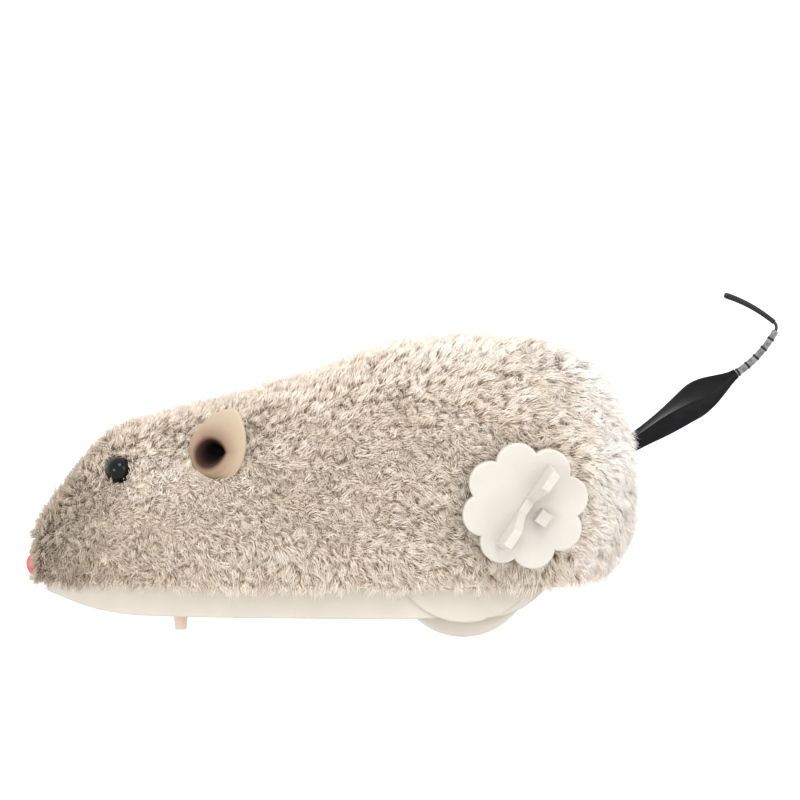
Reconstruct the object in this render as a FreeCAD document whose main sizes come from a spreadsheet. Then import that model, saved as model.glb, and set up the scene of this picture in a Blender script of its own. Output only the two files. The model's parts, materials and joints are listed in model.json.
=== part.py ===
"""Clockwork mouse: a wind-up toy with a fur cover, a geared motor in the rump and a springy tail.

Millimetres. The origin is the floor point under the front peg, -X runs to the nose, +X to the tail,
-Y is the mouse's left side, where the key is, and +Z is up. The mouse stands on the peg and two wheels.
"""
import FreeCAD, Part
import math
import os
import re

import Sketcher
from FreeCAD import Placement, Rotation, Vector

DIMENSIONS = [
    # outer fur and the two shells under it
    ("fur_thickness", 4.3, "backing cloth and pile, from the shell out to the tips"),
    ("shell_wall", 1.5, "wall of the upper shell"),
    ("fur_hem_z", 11.2, "height of the fur's lower edge"),
    ("rim_z", 12.3, "height of the joint between the base and the upper shell"),
    ("fur_gap", 0.15, "glue gap between the shell and the fur's backing"),
    # base
    ("base_bottom_z", 4.6, "underside of the base"),
    ("base_floor", 1.6, "thickness of the base's floor"),
    ("base_wall", 1.6, "thickness of the base's side"),
    ("base_front_x", -28.5, "front tip of the base"),
    ("base_rear_x", 80.0, "rear end of the base"),
    ("base_tray_front_x", -13.0, "front end of the base's tray"),
    ("base_tray_rear_x", 68.0, "rear end of the base's tray"),
    ("base_inset", 4.4, "the base's rim is this far inside the fur"),
    ("rim_room", 0.15, "room between the base's rim and the fur cloth around it"),
    ("bow_start_x", -7.0, "where the underside starts to rise to the front"),
    ("bow_rise", 4.2, "how far the underside rises at the front tip"),
    ("stern_start_x", 63.0, "where the underside starts to rise to the rear"),
    ("stern_end_x", 76.0, "where the underside stops rising and runs level to the rear end"),
    ("stern_rise", 6.0, "how far the underside rises at the rear"),
    ("guard_radius", 16.3, "round guard on the base's side at each wheel"),
    ("guard_centre_z", 20.0, "centre height of the wheel guards"),
    ("slot_clearance", 0.8, "room around each wheel in its slot"),
    ("guard_y", 21.8, "middle of each wheel guard, from the mid plane"),
    ("guard_thickness", 1.6, "thickness of each wheel guard"),
    # front peg
    ("peg_top_radius", 1.7, "front peg at the base"),
    ("peg_foot_radius", 1.25, "front peg at the floor"),
    ("peg_stem_radius", 1.2, "stem of the front peg in the base"),
    # motor frame
    ("plate_inner_y", 9.8, "inner face of each motor plate"),
    ("plate_thickness", 1.2, "thickness of each motor plate"),
    ("plate_tab", 3.4, "how far the plate's feet stand out"),
    ("tab_thickness", 1.2, "thickness of each foot of the motor plates"),
    ("tab_length", 7.0, "length of each foot of the motor plates"),
    ("tab_front_x", 48.0, "front foot of the motor plates"),
    ("tab_rear_x", 60.5, "rear foot of the motor plates"),
    ("pillar_radius", 1.5, "motor pillars"),
    ("pillar_screw_head", 1.9, "head radius of the pillar screws"),
    # gear train
    ("arbor_x", 70.0, "winding arbor and great wheel"),
    ("arbor_z", 29.3, "winding arbor and great wheel"),
    ("axle_x", 59.0, "drive axle"),
    ("axle_z", 14.75, "drive axle, the height of the wheels' radius"),
    ("first_module", 0.6, "great wheel and idler pinion"),
    ("second_module", 0.5, "idler wheel and axle pinion"),
    ("great_teeth", 40, "teeth of the great wheel"),
    ("pinion_teeth", 10, "teeth of both pinions"),
    ("idler_teeth", 30, "teeth of the idler wheel"),
    ("gear_width", 2.2, "face width of the great wheel"),
    ("arbor_radius", 1.5, "round part of the winding arbor"),
    ("axle_radius", 1.0, "drive axle and idler shaft"),
    ("running_clearance", 0.05, "radial clearance of each turning fit"),
    ("drum_radius", 3.2, "clutch drums on the great wheel and the arbor"),
    ("drum_length", 2.8, "length of each clutch drum"),
    ("clutch_thickness", 0.7, "wrap spring of the clutch"),
    # mainspring
    ("spring_width", 7.0, "width of the mainspring strip"),
    ("spring_strip", 0.35, "thickness of the mainspring strip"),
    ("spring_inner", 2.3, "radius of the mainspring's first turn"),
    ("spring_pitch", 1.5, "distance between the mainspring's turns"),
    ("spring_turns", 5, "turns of the mainspring"),
    # wheels
    ("wheel_radius", 14.75, "drive wheels"),
    ("wheel_width", 4.0, "drive wheels"),
    ("wheel_outer_y", 19.0, "outer face of each drive wheel"),
    ("wheel_rim", 2.2, "width of the rim on a wheel's inner face"),
    ("wheel_dish_radius", 8.4, "recess in a wheel's outer face"),
    ("wheel_dish_depth", 1.2, "depth of the recess in each face of a wheel"),
    ("wheel_hub_radius", 3.6, "hub of each wheel"),
    ("web_hole_radius", 1.6, "holes in a wheel's web"),
    ("web_hole_circle", 6.0, "radius of the circle that the web's holes stand on"),
    # key
    ("key_back_y", 30.3, "back of the key's disc, from the mid plane"),
    ("key_disc", 1.7, "thickness of the key's disc"),
    ("petal_radius", 4.6, "each petal of the key"),
    ("petal_circle", 8.75, "radius of the petals' centres"),
    ("petals", 8, "petals of the key"),
    ("petal_phase", 56.0, "turn of the key's grip above the +X direction, in degrees"),
    ("grip_length", 20.5, "length of the key's grip"),
    ("grip_thickness", 1.9, "thickness of the key's grip"),
    ("grip_height", 8.0, "height of the grip's two ears above the disc"),
    ("grip_waist", 1.2, "height of the grip at its waist"),
    ("square_side", 2.4, "square end of the winding arbor"),
    ("square_end_y", 31.6, "outer end of the arbor's square, from the mid plane"),
    ("square_length", 6.1, "length of the arbor's square"),
    ("key_hub_radius", 3.0, "hub behind the key's disc"),
    ("key_hub_length", 2.6, "hub behind the key's disc"),
    ("socket_depth", 4.0, "square socket in the key's hub and disc"),
    ("nub_offset", 4.2, "middle of the nub beside the key's grip, from the key's axis"),
    ("nub_height", 2.2, "height of the nub above the disc"),
    # face
    ("eye_radius", 2.9, "bead eyes"),
    ("eye_x", -13.6, "bead eyes"),
    ("eye_z", 35.8, "bead eyes"),
    ("eye_y", 11.3, "bead eyes"),
    ("nose_radius", 2.6, "nose bead"),
    ("nose_x", -30.5, "nose bead"),
    ("nose_z", 14.6, "nose bead"),
    ("ear_x", 3.4, "ear roots"),
    ("ear_y", 14.0, "ear roots"),
    ("ear_z", 36.5, "ear roots"),
    ("right_ear_drop", 2.6, "the right ear is glued on this much lower"),
    ("ear_length", 14.5, "ears from root to mouth"),
    ("ear_root_radius", 2.6, "ears at the root"),
    ("ear_mouth_radius", 5.8, "ears at the mouth"),
    ("ear_wall", 0.9, "ear leather"),
    # tail
    ("tail_root_x", 97.1, "where the tail leaves the fur"),
    ("tail_root_z", 38.8, "where the tail leaves the fur"),
    ("tail_rise", 32.0, "angle of the tail's root above level, in degrees"),
    ("tail_straight", 28.7, "straight part of the tail, as long as its bulb"),
    ("tail_bend_radius", 25.0, "upward bend after the bulb"),
    ("tail_bend", 29.5, "turn of the upward bend, in degrees"),
    ("tail_hook_radius", 1.5, "tight bend near the tip"),
    ("tail_hook", 79.0, "turn of the tight bend, in degrees"),
    ("tail_end_radius", 33.0, "last stretch of the tail"),
    ("tail_end", 22.0, "turn of the last stretch, in degrees"),
    ("tail_wire_radius", 0.35, "core wire of the tail"),
    ("tail_bulb_radius", 3.75, "thickest part of the tail's bulb"),
    ("tail_sleeve_radius", 0.9, "ringed sleeve of the tail"),
    ("tail_tip_radius", 0.68, "sleeve on the tail's last stretch"),
    ("plug_radius", 1.5, "swivel plug of the tail"),
    ("plug_length", 9.0, "swivel plug of the tail"),
    ("grommet_radius", 3.0, "grommet that holds the tail's plug"),
]

# Stations of the outer fur along the body: x, lowest z, highest z, half width.
# The lowest z is that of the whole oval, most of which the hem cuts off.
FUR_STATIONS = [
    (-32.0, 9.6, 19.4, 4.6),
    (-29.6, 7.0, 26.6, 7.8),
    (-24.6, 3.0, 33.0, 11.6),
    (-16.4, 0.0, 42.2, 15.2),
    (-5.0, -3.0, 46.9, 18.8),
    (12.0, -6.0, 50.8, 22.8),
    (30.0, -8.0, 55.8, 26.2),
    (46.0, -8.0, 61.2, 28.4),
    (62.0, -8.0, 63.1, 29.0),
    (76.0, -5.0, 62.3, 28.2),
    (86.5, 4.0, 59.2, 25.0),
    (93.0, 11.2, 52.4, 20.0),
    (96.6, 15.6, 44.6, 14.0),
    (98.2, 21.0, 36.5, 7.5),
]
OVAL_POWER = 2.3  # a little squarer than an ellipse
OVAL_POINTS = 14
SMALLEST_OVAL = 1.2  # half size of the last section of a deep inset

EAR_FLOOR = 2.0  # thickness of leather at the bottom of the ear's cup
EAR_LIP = 6.8  # from the ear's root to the middle of its slanted mouth
EAR_SLANT_SIDE = 40.0  # side of the block that cuts the mouth

PILLARS = [(50.0, 12.6), (81.2, 19.0), (81.5, 40.5), (57.0, 41.0)]  # x and z of the motor's pillars
SPRING_PILLAR = PILLARS[3]
SHELL_SCREWS = [(12.0, 12.0), (38.5, 15.5)]  # x and distance from the mid plane
PLATE_FOOT = (46.5, 67.5)  # x of the front and the rear end of a motor plate's lower edge
PLATE_CORNERS = [(67.5, 13.0), (85.0, 19.0), (85.0, 44.0), (54.0, 44.0), (46.5, 30.0)]  # its other corners
LARGE = 100  # longer than any part of the mouse is wide or high
GLUED = 0.03  # radial room of a glued stem in its hole
SIDES = {"left": -1, "right": 1}

doc = FreeCAD.newDocument("ClockworkMouse")
sheet = doc.addObject("Spreadsheet::Sheet", "Dims")
for row, (alias, value, note) in enumerate(DIMENSIONS, start=1):
    sheet.set(f"A{row}", note)
    sheet.set(f"B{row}", str(value))
    sheet.setAlias(f"B{row}", alias)
doc.recompute()

ALIASES = {alias for alias, value, note in DIMENSIONS}
X_AXIS, Y_AXIS, Z_AXIS = Vector(1, 0, 0), Vector(0, 1, 0), Vector(0, 0, 1)
UPRIGHT = Rotation()
ALONG_Y = Rotation(X_AXIS, -90)  # turns a piece's own Z axis onto +Y
ALONG_X = Rotation(Y_AXIS, 90)
subparts = {}


def dim(alias):
    return float(sheet.get(alias))


def formula(text):
    """A formula of aliases, written as the expression engine reads it."""
    def qualified(word):
        return "Dims." + word.group() if word.group() in ALIASES else word.group()
    return re.sub(r"[a-z]\w+", qualified, text)


def bind(item, prop, text):
    item.setExpression(prop, formula(str(text)))


def place(item, position=(0, 0, 0), rotation=UPRIGHT):
    item.Placement = Placement(Vector(), rotation)
    for letter, text in zip("xyz", position):
        bind(item, "Placement.Base." + letter, text)


def subpart(label, item):
    item.Label = label
    subparts[label] = item
    return item


# ---- Part primitives and booleans -------------------------------------------------------------

def cylinder(name, radius, length, position=(0, 0, 0), rotation=UPRIGHT):
    bar = doc.addObject("Part::Cylinder", name)
    bind(bar, "Radius", radius)
    bind(bar, "Height", length)
    place(bar, position, rotation)
    return bar


def cone(name, radius1, radius2, length, position=(0, 0, 0), rotation=UPRIGHT):
    taper = doc.addObject("Part::Cone", name)
    bind(taper, "Radius1", radius1)
    bind(taper, "Radius2", radius2)
    bind(taper, "Height", length)
    place(taper, position, rotation)
    return taper


def box(name, length, width, height, position=(0, 0, 0), rotation=UPRIGHT):
    block = doc.addObject("Part::Box", name)
    bind(block, "Length", length)
    bind(block, "Width", width)
    bind(block, "Height", height)
    place(block, position, rotation)
    return block


def sphere(name, radius, position=(0, 0, 0)):
    ball = doc.addObject("Part::Sphere", name)
    bind(ball, "Radius", radius)
    place(ball, position)
    return ball


def fuse(name, *shapes):
    joined = doc.addObject("Part::MultiFuse", name)
    joined.Shapes = list(shapes)
    joined.Refine = True
    return joined


def cut(name, base, *tools):
    trimmed = doc.addObject("Part::Cut", name)
    trimmed.Base = base
    trimmed.Tool = tools[0] if len(tools) == 1 else fuse(name + "Tools", *tools)
    return trimmed


def common(name, first, second):
    shared = doc.addObject("Part::Common", name)
    shared.Base = first
    shared.Tool = second
    return shared


def group(name, *shapes):
    """Separate solids of one node, such as its screws."""
    pieces = doc.addObject("Part::Compound", name)
    pieces.Links = list(shapes)
    return pieces


def tube(name, outer, inner, length, position, rotation=ALONG_Y):
    return cut(
        name,
        cylinder(name + "Outside", outer, length, position, rotation),
        cylinder(name + "Bore", inner, length, position, rotation),
    )


# ---- PartDesign bodies -------------------------------------------------------------------------

def new_body(label, position=(0, 0, 0), rotation=UPRIGHT):
    body = doc.addObject("PartDesign::Body", label + "_body")
    place(body, position, rotation)
    return subpart(label, body)


def origin_feature(body, role):
    return next(item for item in body.Origin.OriginFeatures if item.Role == role)


def new_sketch(body, name, role="XY_Plane", height=0):
    sketch = body.newObject("Sketcher::SketchObject", name)
    sketch.AttachmentSupport = [(origin_feature(body, role), "")]
    sketch.MapMode = "FlatFace"
    bind(sketch, "AttachmentOffset.Base.z", height)
    return sketch


def sketch_circle(sketch, radius, x="0", y="0"):
    """A circle whose radius and centre follow formulas."""
    index = sketch.addGeometry(Part.Circle(Vector(1, 1, 0), Z_AXIS, 1.0), False)
    for kind, text in (("DistanceX", x), ("DistanceY", y)):
        number = sketch.addConstraint(Sketcher.Constraint(kind, -1, 1, index, 3, 1.0))
        sketch.setExpression(f"Constraints[{number}]", formula(str(text)))
    number = sketch.addConstraint(Sketcher.Constraint("Radius", index, 1.0))
    sketch.setExpression(f"Constraints[{number}]", formula(str(radius)))
    return index


def sketch_polygon(sketch, points):
    corners = [Vector(x, y, 0) for x, y in points]
    for start, end in zip(corners, corners[1:] + corners[:1]):
        sketch.addGeometry(Part.LineSegment(start, end), False)


def pad(body, sketch, length, name):
    feature = body.newObject("PartDesign::Pad", name)
    feature.Profile = sketch
    bind(feature, "Length", length)
    return feature


def pocket_through(body, sketch, name):
    """A pocket through the whole piece, both ways from its sketch."""
    feature = body.newObject("PartDesign::Pocket", name)
    feature.Profile = sketch
    feature.Type = "ThroughAll"
    feature.Midplane = True
    return feature


def polar_pattern(body, feature, count, name):
    pattern = body.newObject("PartDesign::PolarPattern", name)
    pattern.Originals = [feature]
    pattern.Axis = (origin_feature(body, "Z_Axis"), [""])
    pattern.Angle = 360
    bind(pattern, "Occurrences", count)
    body.Tip = pattern
    return pattern


# ---- body outline ------------------------------------------------------------------------------

def oval_half_width(station, z, inset):
    """Half width of one station's oval at height z, this far inside the fur."""
    x, low, high, half_width = station
    rise = max((high - low) / 2 - inset, SMALLEST_OVAL)
    width = max(half_width - inset, SMALLEST_OVAL)
    level = min(abs(z - (high + low) / 2) / rise, 1.0)
    return width * (1 - level**OVAL_POWER) ** (1 / OVAL_POWER)


def oval_wire(x, middle_z, rise, width):
    """One closed smooth section of the body, at right angles to X."""
    points = []
    for step in range(OVAL_POINTS):
        angle = 2 * math.pi * step / OVAL_POINTS
        sideways = math.copysign(abs(math.cos(angle)) ** (2 / OVAL_POWER), math.cos(angle))
        upwards = math.copysign(abs(math.sin(angle)) ** (2 / OVAL_POWER), math.sin(angle))
        points.append(Vector(x, width * sideways, middle_z + rise * upwards))
    curve = Part.BSplineCurve()
    curve.interpolate(Points=points, PeriodicFlag=True)
    return Part.Wire([curve.toShape()])


def body_loft(name, inset):
    """The body's smooth outer form, moved inwards by the inset on every side."""
    first, last = FUR_STATIONS[0][0], FUR_STATIONS[-1][0]
    middle, half_length = (first + last) / 2, (last - first) / 2
    squeeze = (half_length - inset) / half_length
    sections = []
    for number, (x, low, high, half_width) in enumerate(FUR_STATIONS, start=1):
        section = doc.addObject("Part::Feature", f"{name}Section{number}")
        section.Shape = oval_wire(
            middle + (x - middle) * squeeze,
            (low + high) / 2,
            max((high - low) / 2 - inset, SMALLEST_OVAL),
            max(half_width - inset, SMALLEST_OVAL),
        )
        sections.append(section)
    loft = doc.addObject("Part::Loft", name)
    loft.Sections = sections
    loft.Solid = True
    loft.Ruled = False
    return loft


def below(name, height):
    """A block that takes away all that is below this height."""
    return box(name, 2 * LARGE, LARGE, LARGE, (-LARGE / 2, -LARGE / 2, f"{height} - {LARGE}"))


# ---- gears --------------------------------------------------------------------------------------

def involute(angle):
    return math.tan(angle) - angle


def tooth_points(teeth, module):
    """Outline of one tooth that points along +X, from inside its root to its tip.

    Straight chords lie inside the true involute, and the tooth is thinned, so a pair runs free.
    """
    pitch = teeth * module / 2
    base = pitch * math.cos(math.radians(20))
    tip = pitch + 0.8 * module
    root = pitch - 1.05 * module
    half_pitch_angle = 0.42 * math.pi / teeth
    start = max(base, root)
    flank = []
    for step in range(4):
        radius = start + (tip - start) * step / 3
        angle = half_pitch_angle + involute(math.radians(20)) - involute(math.acos(base / radius))
        flank.append((radius, max(angle, 0.1 / radius)))
    flank.insert(0, (root - 0.15, flank[0][1]))
    lower = [(radius * math.cos(angle), -radius * math.sin(angle)) for radius, angle in flank]
    upper = [(x, -y) for x, y in reversed(lower)]
    return lower + upper


def gear(body, name, teeth, module, width, start):
    """Toothed disc along the body's own Z axis, from the height start."""
    blank = new_sketch(body, name + "Disc", height=start)
    sketch_circle(blank, f"{teeth} * {module} / 2 - 1.05 * {module}")
    pad(body, blank, width, name + "Blank")
    outline = new_sketch(body, name + "ToothOutline", height=start)
    sketch_polygon(outline, tooth_points(dim(teeth), dim(module)))
    tooth = pad(body, outline, width, name + "Tooth")
    polar_pattern(body, tooth, teeth, name + "Teeth")


def boss(body, name, radius, start, length):
    sketch = new_sketch(body, name + "Circle", height=start)
    sketch_circle(sketch, radius)
    return pad(body, sketch, length, name)


def bore(body, name, radius):
    sketch = new_sketch(body, name + "Circle")
    sketch_circle(sketch, radius)
    return pocket_through(body, sketch, name)


def idler_centre():
    """The idler meshes with both the great wheel and the axle pinion, in front of them."""
    first = dim("first_module") * (dim("great_teeth") + dim("pinion_teeth")) / 2
    second = dim("second_module") * (dim("idler_teeth") + dim("pinion_teeth")) / 2
    arbor = Vector(dim("arbor_x"), 0, dim("arbor_z"))
    span = Vector(dim("axle_x"), 0, dim("axle_z")) - arbor
    distance = span.Length
    along = (first**2 - second**2 + distance**2) / (2 * distance)
    aside = math.sqrt(first**2 - along**2)
    unit = span / distance
    return arbor + unit * along + Vector(unit.z, 0, -unit.x) * aside


def mesh_phase(own_teeth, own_phase, partner_teeth, own_centre, partner_centre):
    """Turn of the partner, in degrees, that puts one of its gaps over this gear's nearest tooth.

    Angles are about +Y's opposite, from +X towards +Z.
    """
    line = partner_centre - own_centre
    towards = math.degrees(math.atan2(line.z, line.x))
    own_step, partner_step = 360 / own_teeth, 360 / partner_teeth
    past_tooth = (towards - own_phase) / own_step
    offset = past_tooth - round(past_tooth)
    facing = towards + 180
    return facing + (0.5 + offset) * partner_step


# ---- the mouse's casing -------------------------------------------------------------------------

def make_fur_cover():
    outside = body_loft("FurOutside", 0)
    inside = body_loft("FurInside", dim("fur_thickness") - dim("fur_gap"))
    key_spot = ("arbor_x", -50, "arbor_z")
    key_opening = cylinder("KeyOpening", "key_hub_radius + 1.5", 30, key_spot, ALONG_Y)
    tail_hole = cylinder("FurTailHole", "grommet_radius + 0.4", 16, tail_point(-9), tail_rotation())
    nose_hole = sphere("FurNoseHole", "nose_radius + 0.2", ("nose_x", 0, "nose_z"))
    stem_hole = nose_stem("FurNoseStemHole", 0.1)
    holes = [inside, below("FurHem", "fur_hem_z"), key_opening, tail_hole, nose_hole, stem_hole]
    for side, sign in SIDES.items():
        eye_spot = ("eye_x", f"eye_y * {sign}", "eye_z")
        holes.append(sphere("FurEyeHole" + side, "eye_radius + 0.2", eye_spot))
        holes.append(ear_cone("FurEarHole" + side, sign, 0.35))
        holes.append(eye_stem("FurEyeStemHole" + side, sign, 0.1))
    subpart("fur_cover", cut("FurCover", outside, *holes))


def make_body_shell():
    outside = body_loft("ShellOutside", dim("fur_thickness"))
    inside = body_loft("ShellInside", dim("fur_thickness") + dim("shell_wall"))
    wall = cut("ShellWall", outside, inside)
    columns = []
    pilots = []
    for side, sign in SIDES.items():
        for number, (x, y) in enumerate(SHELL_SCREWS, start=1):
            foot = (x, y * sign, "base_bottom_z + base_floor + 0.05")
            columns.append(cylinder(f"Column{side}{number}", 2.6, 60, foot))
            pilots.append(cylinder(f"Pilot{side}{number}", 0.95, 9, foot))
    trimmed = cut("ShellTrimmed", wall, below("ShellRim", "rim_z"))
    post_limit = body_loft("ShellPostLimit", dim("fur_thickness") + 0.5)
    posts = common("ShellPosts", group("ShellColumns", *columns), post_limit)
    holes = [
        cylinder("BushHole", "arbor_radius + 1.2", 12, ("arbor_x", -32, "arbor_z"), ALONG_Y),
        cylinder("ShellTailHole", "grommet_radius - 0.6", 16, tail_point(-12), tail_rotation()),
        nose_stem("ShellNoseHole", GLUED),
    ]
    for side, sign in SIDES.items():
        holes.append(eye_stem("ShellEyeHole" + side, sign, GLUED))
        holes.append(ear_cone("ShellEarHole" + side, sign, 0.1))
    solid = fuse("ShellSolid", trimmed, posts)
    subpart("body_shell", cut("BodyShell", solid, *pilots, *holes))


def base_outline(inset, front_x, rear_x):
    """The base's plan: a smooth side from the front tip to the rear end, and its mirror image."""
    level = dim("rim_z")
    shoulder_x = rear_x - 2.5
    rim = [(station[0] + dim("base_inset"), oval_half_width(station, level, inset)) for station in FUR_STATIONS]
    side = [(front_x, 0.0)] + [(x, y) for x, y in rim if front_x + 2.5 < x < shoulder_x - 1]
    before = max(point for point in rim if point[0] <= shoulder_x)
    after = min(point for point in rim if point[0] > shoulder_x)
    share = (shoulder_x - before[0]) / (after[0] - before[0])
    shoulder_width = before[1] + (after[1] - before[1]) * share
    end_width = shoulder_width - 1.0
    side += [(shoulder_x, shoulder_width), (rear_x, end_width)]
    curve = Part.BSplineCurve()
    curve.interpolate([Vector(x, y, 0) for x, y in side])
    return curve, end_width


def sketch_base_outline(sketch, inset, front_x, rear_x):
    """Adds the plan to a sketch: the curved side, its mirror image and a straight rear end."""
    curve, end_width = base_outline(inset, front_x, rear_x)
    mirrored = curve.copy()
    mirrored.mirror(Vector(0, 0, 0), X_AXIS)
    sketch.addGeometry(curve, False)
    sketch.addGeometry(mirrored, False)
    sketch.addGeometry(Part.LineSegment(Vector(rear_x, end_width, 0), Vector(rear_x, -end_width, 0)), False)


def rise_tool(name, start_x, end_x, rise):
    """What the underside loses where it rises from start_x to end_x along an arc."""
    run = end_x - start_x
    radius = (run**2 + rise**2) / (2 * rise)
    bottom = dim("base_bottom_z")
    centre = Vector(start_x, 0, bottom + radius)
    half_angle = math.atan2(run, radius - rise) / 2
    middle = centre + Vector(math.sin(half_angle), 0, -math.cos(half_angle)) * radius
    start = Vector(start_x, 0, bottom)
    end = Vector(end_x, 0, bottom + rise)
    far_x = end_x + math.copysign(10, run)
    under = bottom - 5
    corners = [end, Vector(far_x, 0, bottom + rise)]
    corners += [Vector(far_x, 0, under), Vector(start_x, 0, under), start]
    edges = [Part.Arc(start, middle, end).toShape()]
    edges += [Part.LineSegment(a, b).toShape() for a, b in zip(corners, corners[1:])]
    tool = doc.addObject("Part::Feature", name)
    tool.Shape = Part.Face(Part.Wire(edges)).extrude(Vector(0, LARGE, 0))
    tool.Placement = Placement(Vector(0, -LARGE / 2, 0), UPRIGHT)
    return tool


def make_base_shell():
    tray = doc.addObject("PartDesign::Body", "BaseTray")
    place(tray)
    outline = new_sketch(tray, "BaseOutline", height="base_bottom_z")
    sketch_base_outline(outline, dim("base_inset"), dim("base_front_x"), dim("base_rear_x"))
    pad(tray, outline, "rim_z - base_bottom_z", "BasePad")
    hollow = new_sketch(tray, "TrayOutline", height="rim_z")
    sketch_base_outline(
        hollow, dim("base_inset") + dim("base_wall"), dim("base_tray_front_x"), dim("base_tray_rear_x"))
    tray_pocket = tray.newObject("PartDesign::Pocket", "TrayPocket")
    tray_pocket.Profile = hollow
    bind(tray_pocket, "Length", "rim_z - base_bottom_z - base_floor")
    guards = [tray]
    rim_corner = (-LARGE / 2, -LARGE / 2, "fur_hem_z - rim_room")
    rim_band = box("RimBand", 2 * LARGE, LARGE, 20, rim_corner)
    rim_form = body_loft("RimForm", dim("fur_thickness") + dim("rim_room") - dim("fur_gap"))
    tools = [
        cut("RimLimit", rim_band, rim_form),
        rise_tool("BowRise", dim("bow_start_x"), dim("base_front_x"), dim("bow_rise")),
        rise_tool("SternRise", dim("stern_start_x"), dim("stern_end_x"), dim("stern_rise")),
        cylinder("PegHole", "peg_stem_radius", 20),
    ]
    for side, sign in SIDES.items():
        middle = f"{sign} * (wheel_outer_y - wheel_width / 2)"
        guard = common(
            "Guard" + side,
            cylinder("GuardDisc" + side, "guard_radius", "guard_thickness",
                     ("axle_x", f"{sign} * guard_y - guard_thickness / 2", "guard_centre_z"), ALONG_Y),
            box("GuardLimit" + side, 60, 60, "fur_hem_z - 1.3", (30, -30, 1)),
        )
        guards.append(guard)
        slot_y = f"{middle} - wheel_width / 2 - slot_clearance"
        slot_corner = ("axle_x - wheel_radius - slot_clearance", slot_y, 0)
        slot_size = ("2 * (wheel_radius + slot_clearance)", "wheel_width + 2 * slot_clearance", 20)
        tools.append(box("WheelSlot" + side, *slot_size, slot_corner))
        for number, (x, y) in enumerate(SHELL_SCREWS, start=1):
            spot = (x, y * sign, 0)
            tools.append(cylinder(f"ShellScrewHole{side}{number}", 1.25, 20, spot))
            tools.append(cylinder(f"ShellScrewSink{side}{number}", 2.2, "base_bottom_z + 0.8", spot))
        tab_y = f"{sign} * (plate_inner_y + plate_thickness + plate_tab / 2)"
        for number, x in enumerate(("tab_front_x", "tab_rear_x"), start=1):
            spot = (f"{x} + tab_length / 2", tab_y, 0)
            tools.append(cylinder(f"TabHole{side}{number}", 0.75, 20, spot))
    subpart("base_shell", cut("BaseShell", fuse("BaseWithGuards", *guards), *tools))


def make_base_screws():
    """Four self-tapping screws from below, into the columns of the upper shell."""
    screws = []
    for side, sign in SIDES.items():
        for number, (x, y) in enumerate(SHELL_SCREWS, start=1):
            head = cylinder(f"Head{side}{number}", 2.1, 1.2, (x, y * sign, "base_bottom_z - 0.4"))
            shank = cylinder(f"Shank{side}{number}", 0.93, 9, (x, y * sign, "base_bottom_z"))
            corner = (x - 2.5, y * sign - 0.25, "base_bottom_z - 0.6")
            slot = box(f"Slot{side}{number}", 5, 0.5, 0.6, corner)
            blank = fuse(f"ScrewBlank{side}{number}", head, shank)
            screws.append(cut(f"ShellScrew{side}{number}", blank, slot))
    subpart("base_screws", group("BaseScrews", *screws))


def make_front_peg():
    foot = cone("PegFoot", "peg_foot_radius", "peg_top_radius", "base_bottom_z")
    stem = cylinder("PegStem", "peg_stem_radius - 0.02", "base_floor + 0.6", (0, 0, "base_bottom_z"))
    subpart("front_peg", fuse("FrontPeg", foot, stem))


# ---- face ---------------------------------------------------------------------------------------

def eye_direction(sign):
    return Vector(-0.42, 0.80 * sign, 0.42).normalize()


def turned_to(direction):
    return Rotation(Z_AXIS, direction)


def eye_stem(name, sign, room):
    """The eye's stem, from inside the shell to the bead, with this much room around it."""
    inwards = eye_direction(sign) * -9.5
    position = (f"eye_x + {inwards.x}", f"eye_y * {sign} + {inwards.y}", f"eye_z + {inwards.z}")
    return cylinder(name, 0.9 + room, 9.5, position, turned_to(eye_direction(sign)))


def nose_stem(name, room):
    return cylinder(name, 1.0 + room, 11, ("nose_x", 0, "nose_z"), ALONG_X)


def ear_direction(sign):
    """The ear's own axis, from its root out to its mouth: up, outwards and a little back."""
    return Vector(0.50, 0.38 * sign, 0.78).normalize()


def ear_position(sign, step=Vector()):
    """The ear's root, moved by this step, as formulas. The right ear sits a little lower."""
    drop = "right_ear_drop" if sign > 0 else 0
    return (f"ear_x + {step.x}", f"ear_y * {sign} + {step.y}", f"ear_z - {drop} + {step.z}")


def ear_cone(name, sign, room):
    position = ear_position(sign)
    return cone(
        name, f"ear_root_radius + {room}", f"ear_mouth_radius + {room}", "ear_length", position,
        turned_to(ear_direction(sign)))


def make_face():
    ball = sphere("NoseBall", "nose_radius", ("nose_x", 0, "nose_z"))
    subpart("nose", fuse("NoseBead", ball, nose_stem("NoseStem", 0)))
    for side, sign in SIDES.items():
        bead = sphere("EyeBall" + side, "eye_radius", ("eye_x", f"eye_y * {sign}", "eye_z"))
        subpart("eye_" + side, fuse("Eye" + side, bead, eye_stem("EyeStem" + side, sign, 0)))


def make_ears():
    """Each ear is a rolled cup of thin leather, its mouth cut on a slant so that it ends in a tip."""
    for side, sign in SIDES.items():
        axis = ear_direction(sign)
        hollow = cone(
            "EarHollow" + side, "ear_root_radius - ear_wall", "ear_mouth_radius - ear_wall", "ear_length",
            ear_position(sign, axis * EAR_FLOOR), turned_to(axis))
        slope = turned_to(Vector(-0.62, 0.42 * sign, 0.66).normalize())
        middle = axis * EAR_LIP
        corner = slope.multVec(Vector(1, 1, 0)) * (EAR_SLANT_SIDE / 2)
        spot = ear_position(sign, middle - corner)
        slant = box("EarSlant" + side, EAR_SLANT_SIDE, EAR_SLANT_SIDE, 20, spot, slope)
        subpart("ear_" + side, cut("Ear" + side, ear_cone("EarOutside" + side, sign, 0), hollow, slant))


# ---- motor --------------------------------------------------------------------------------------

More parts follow.
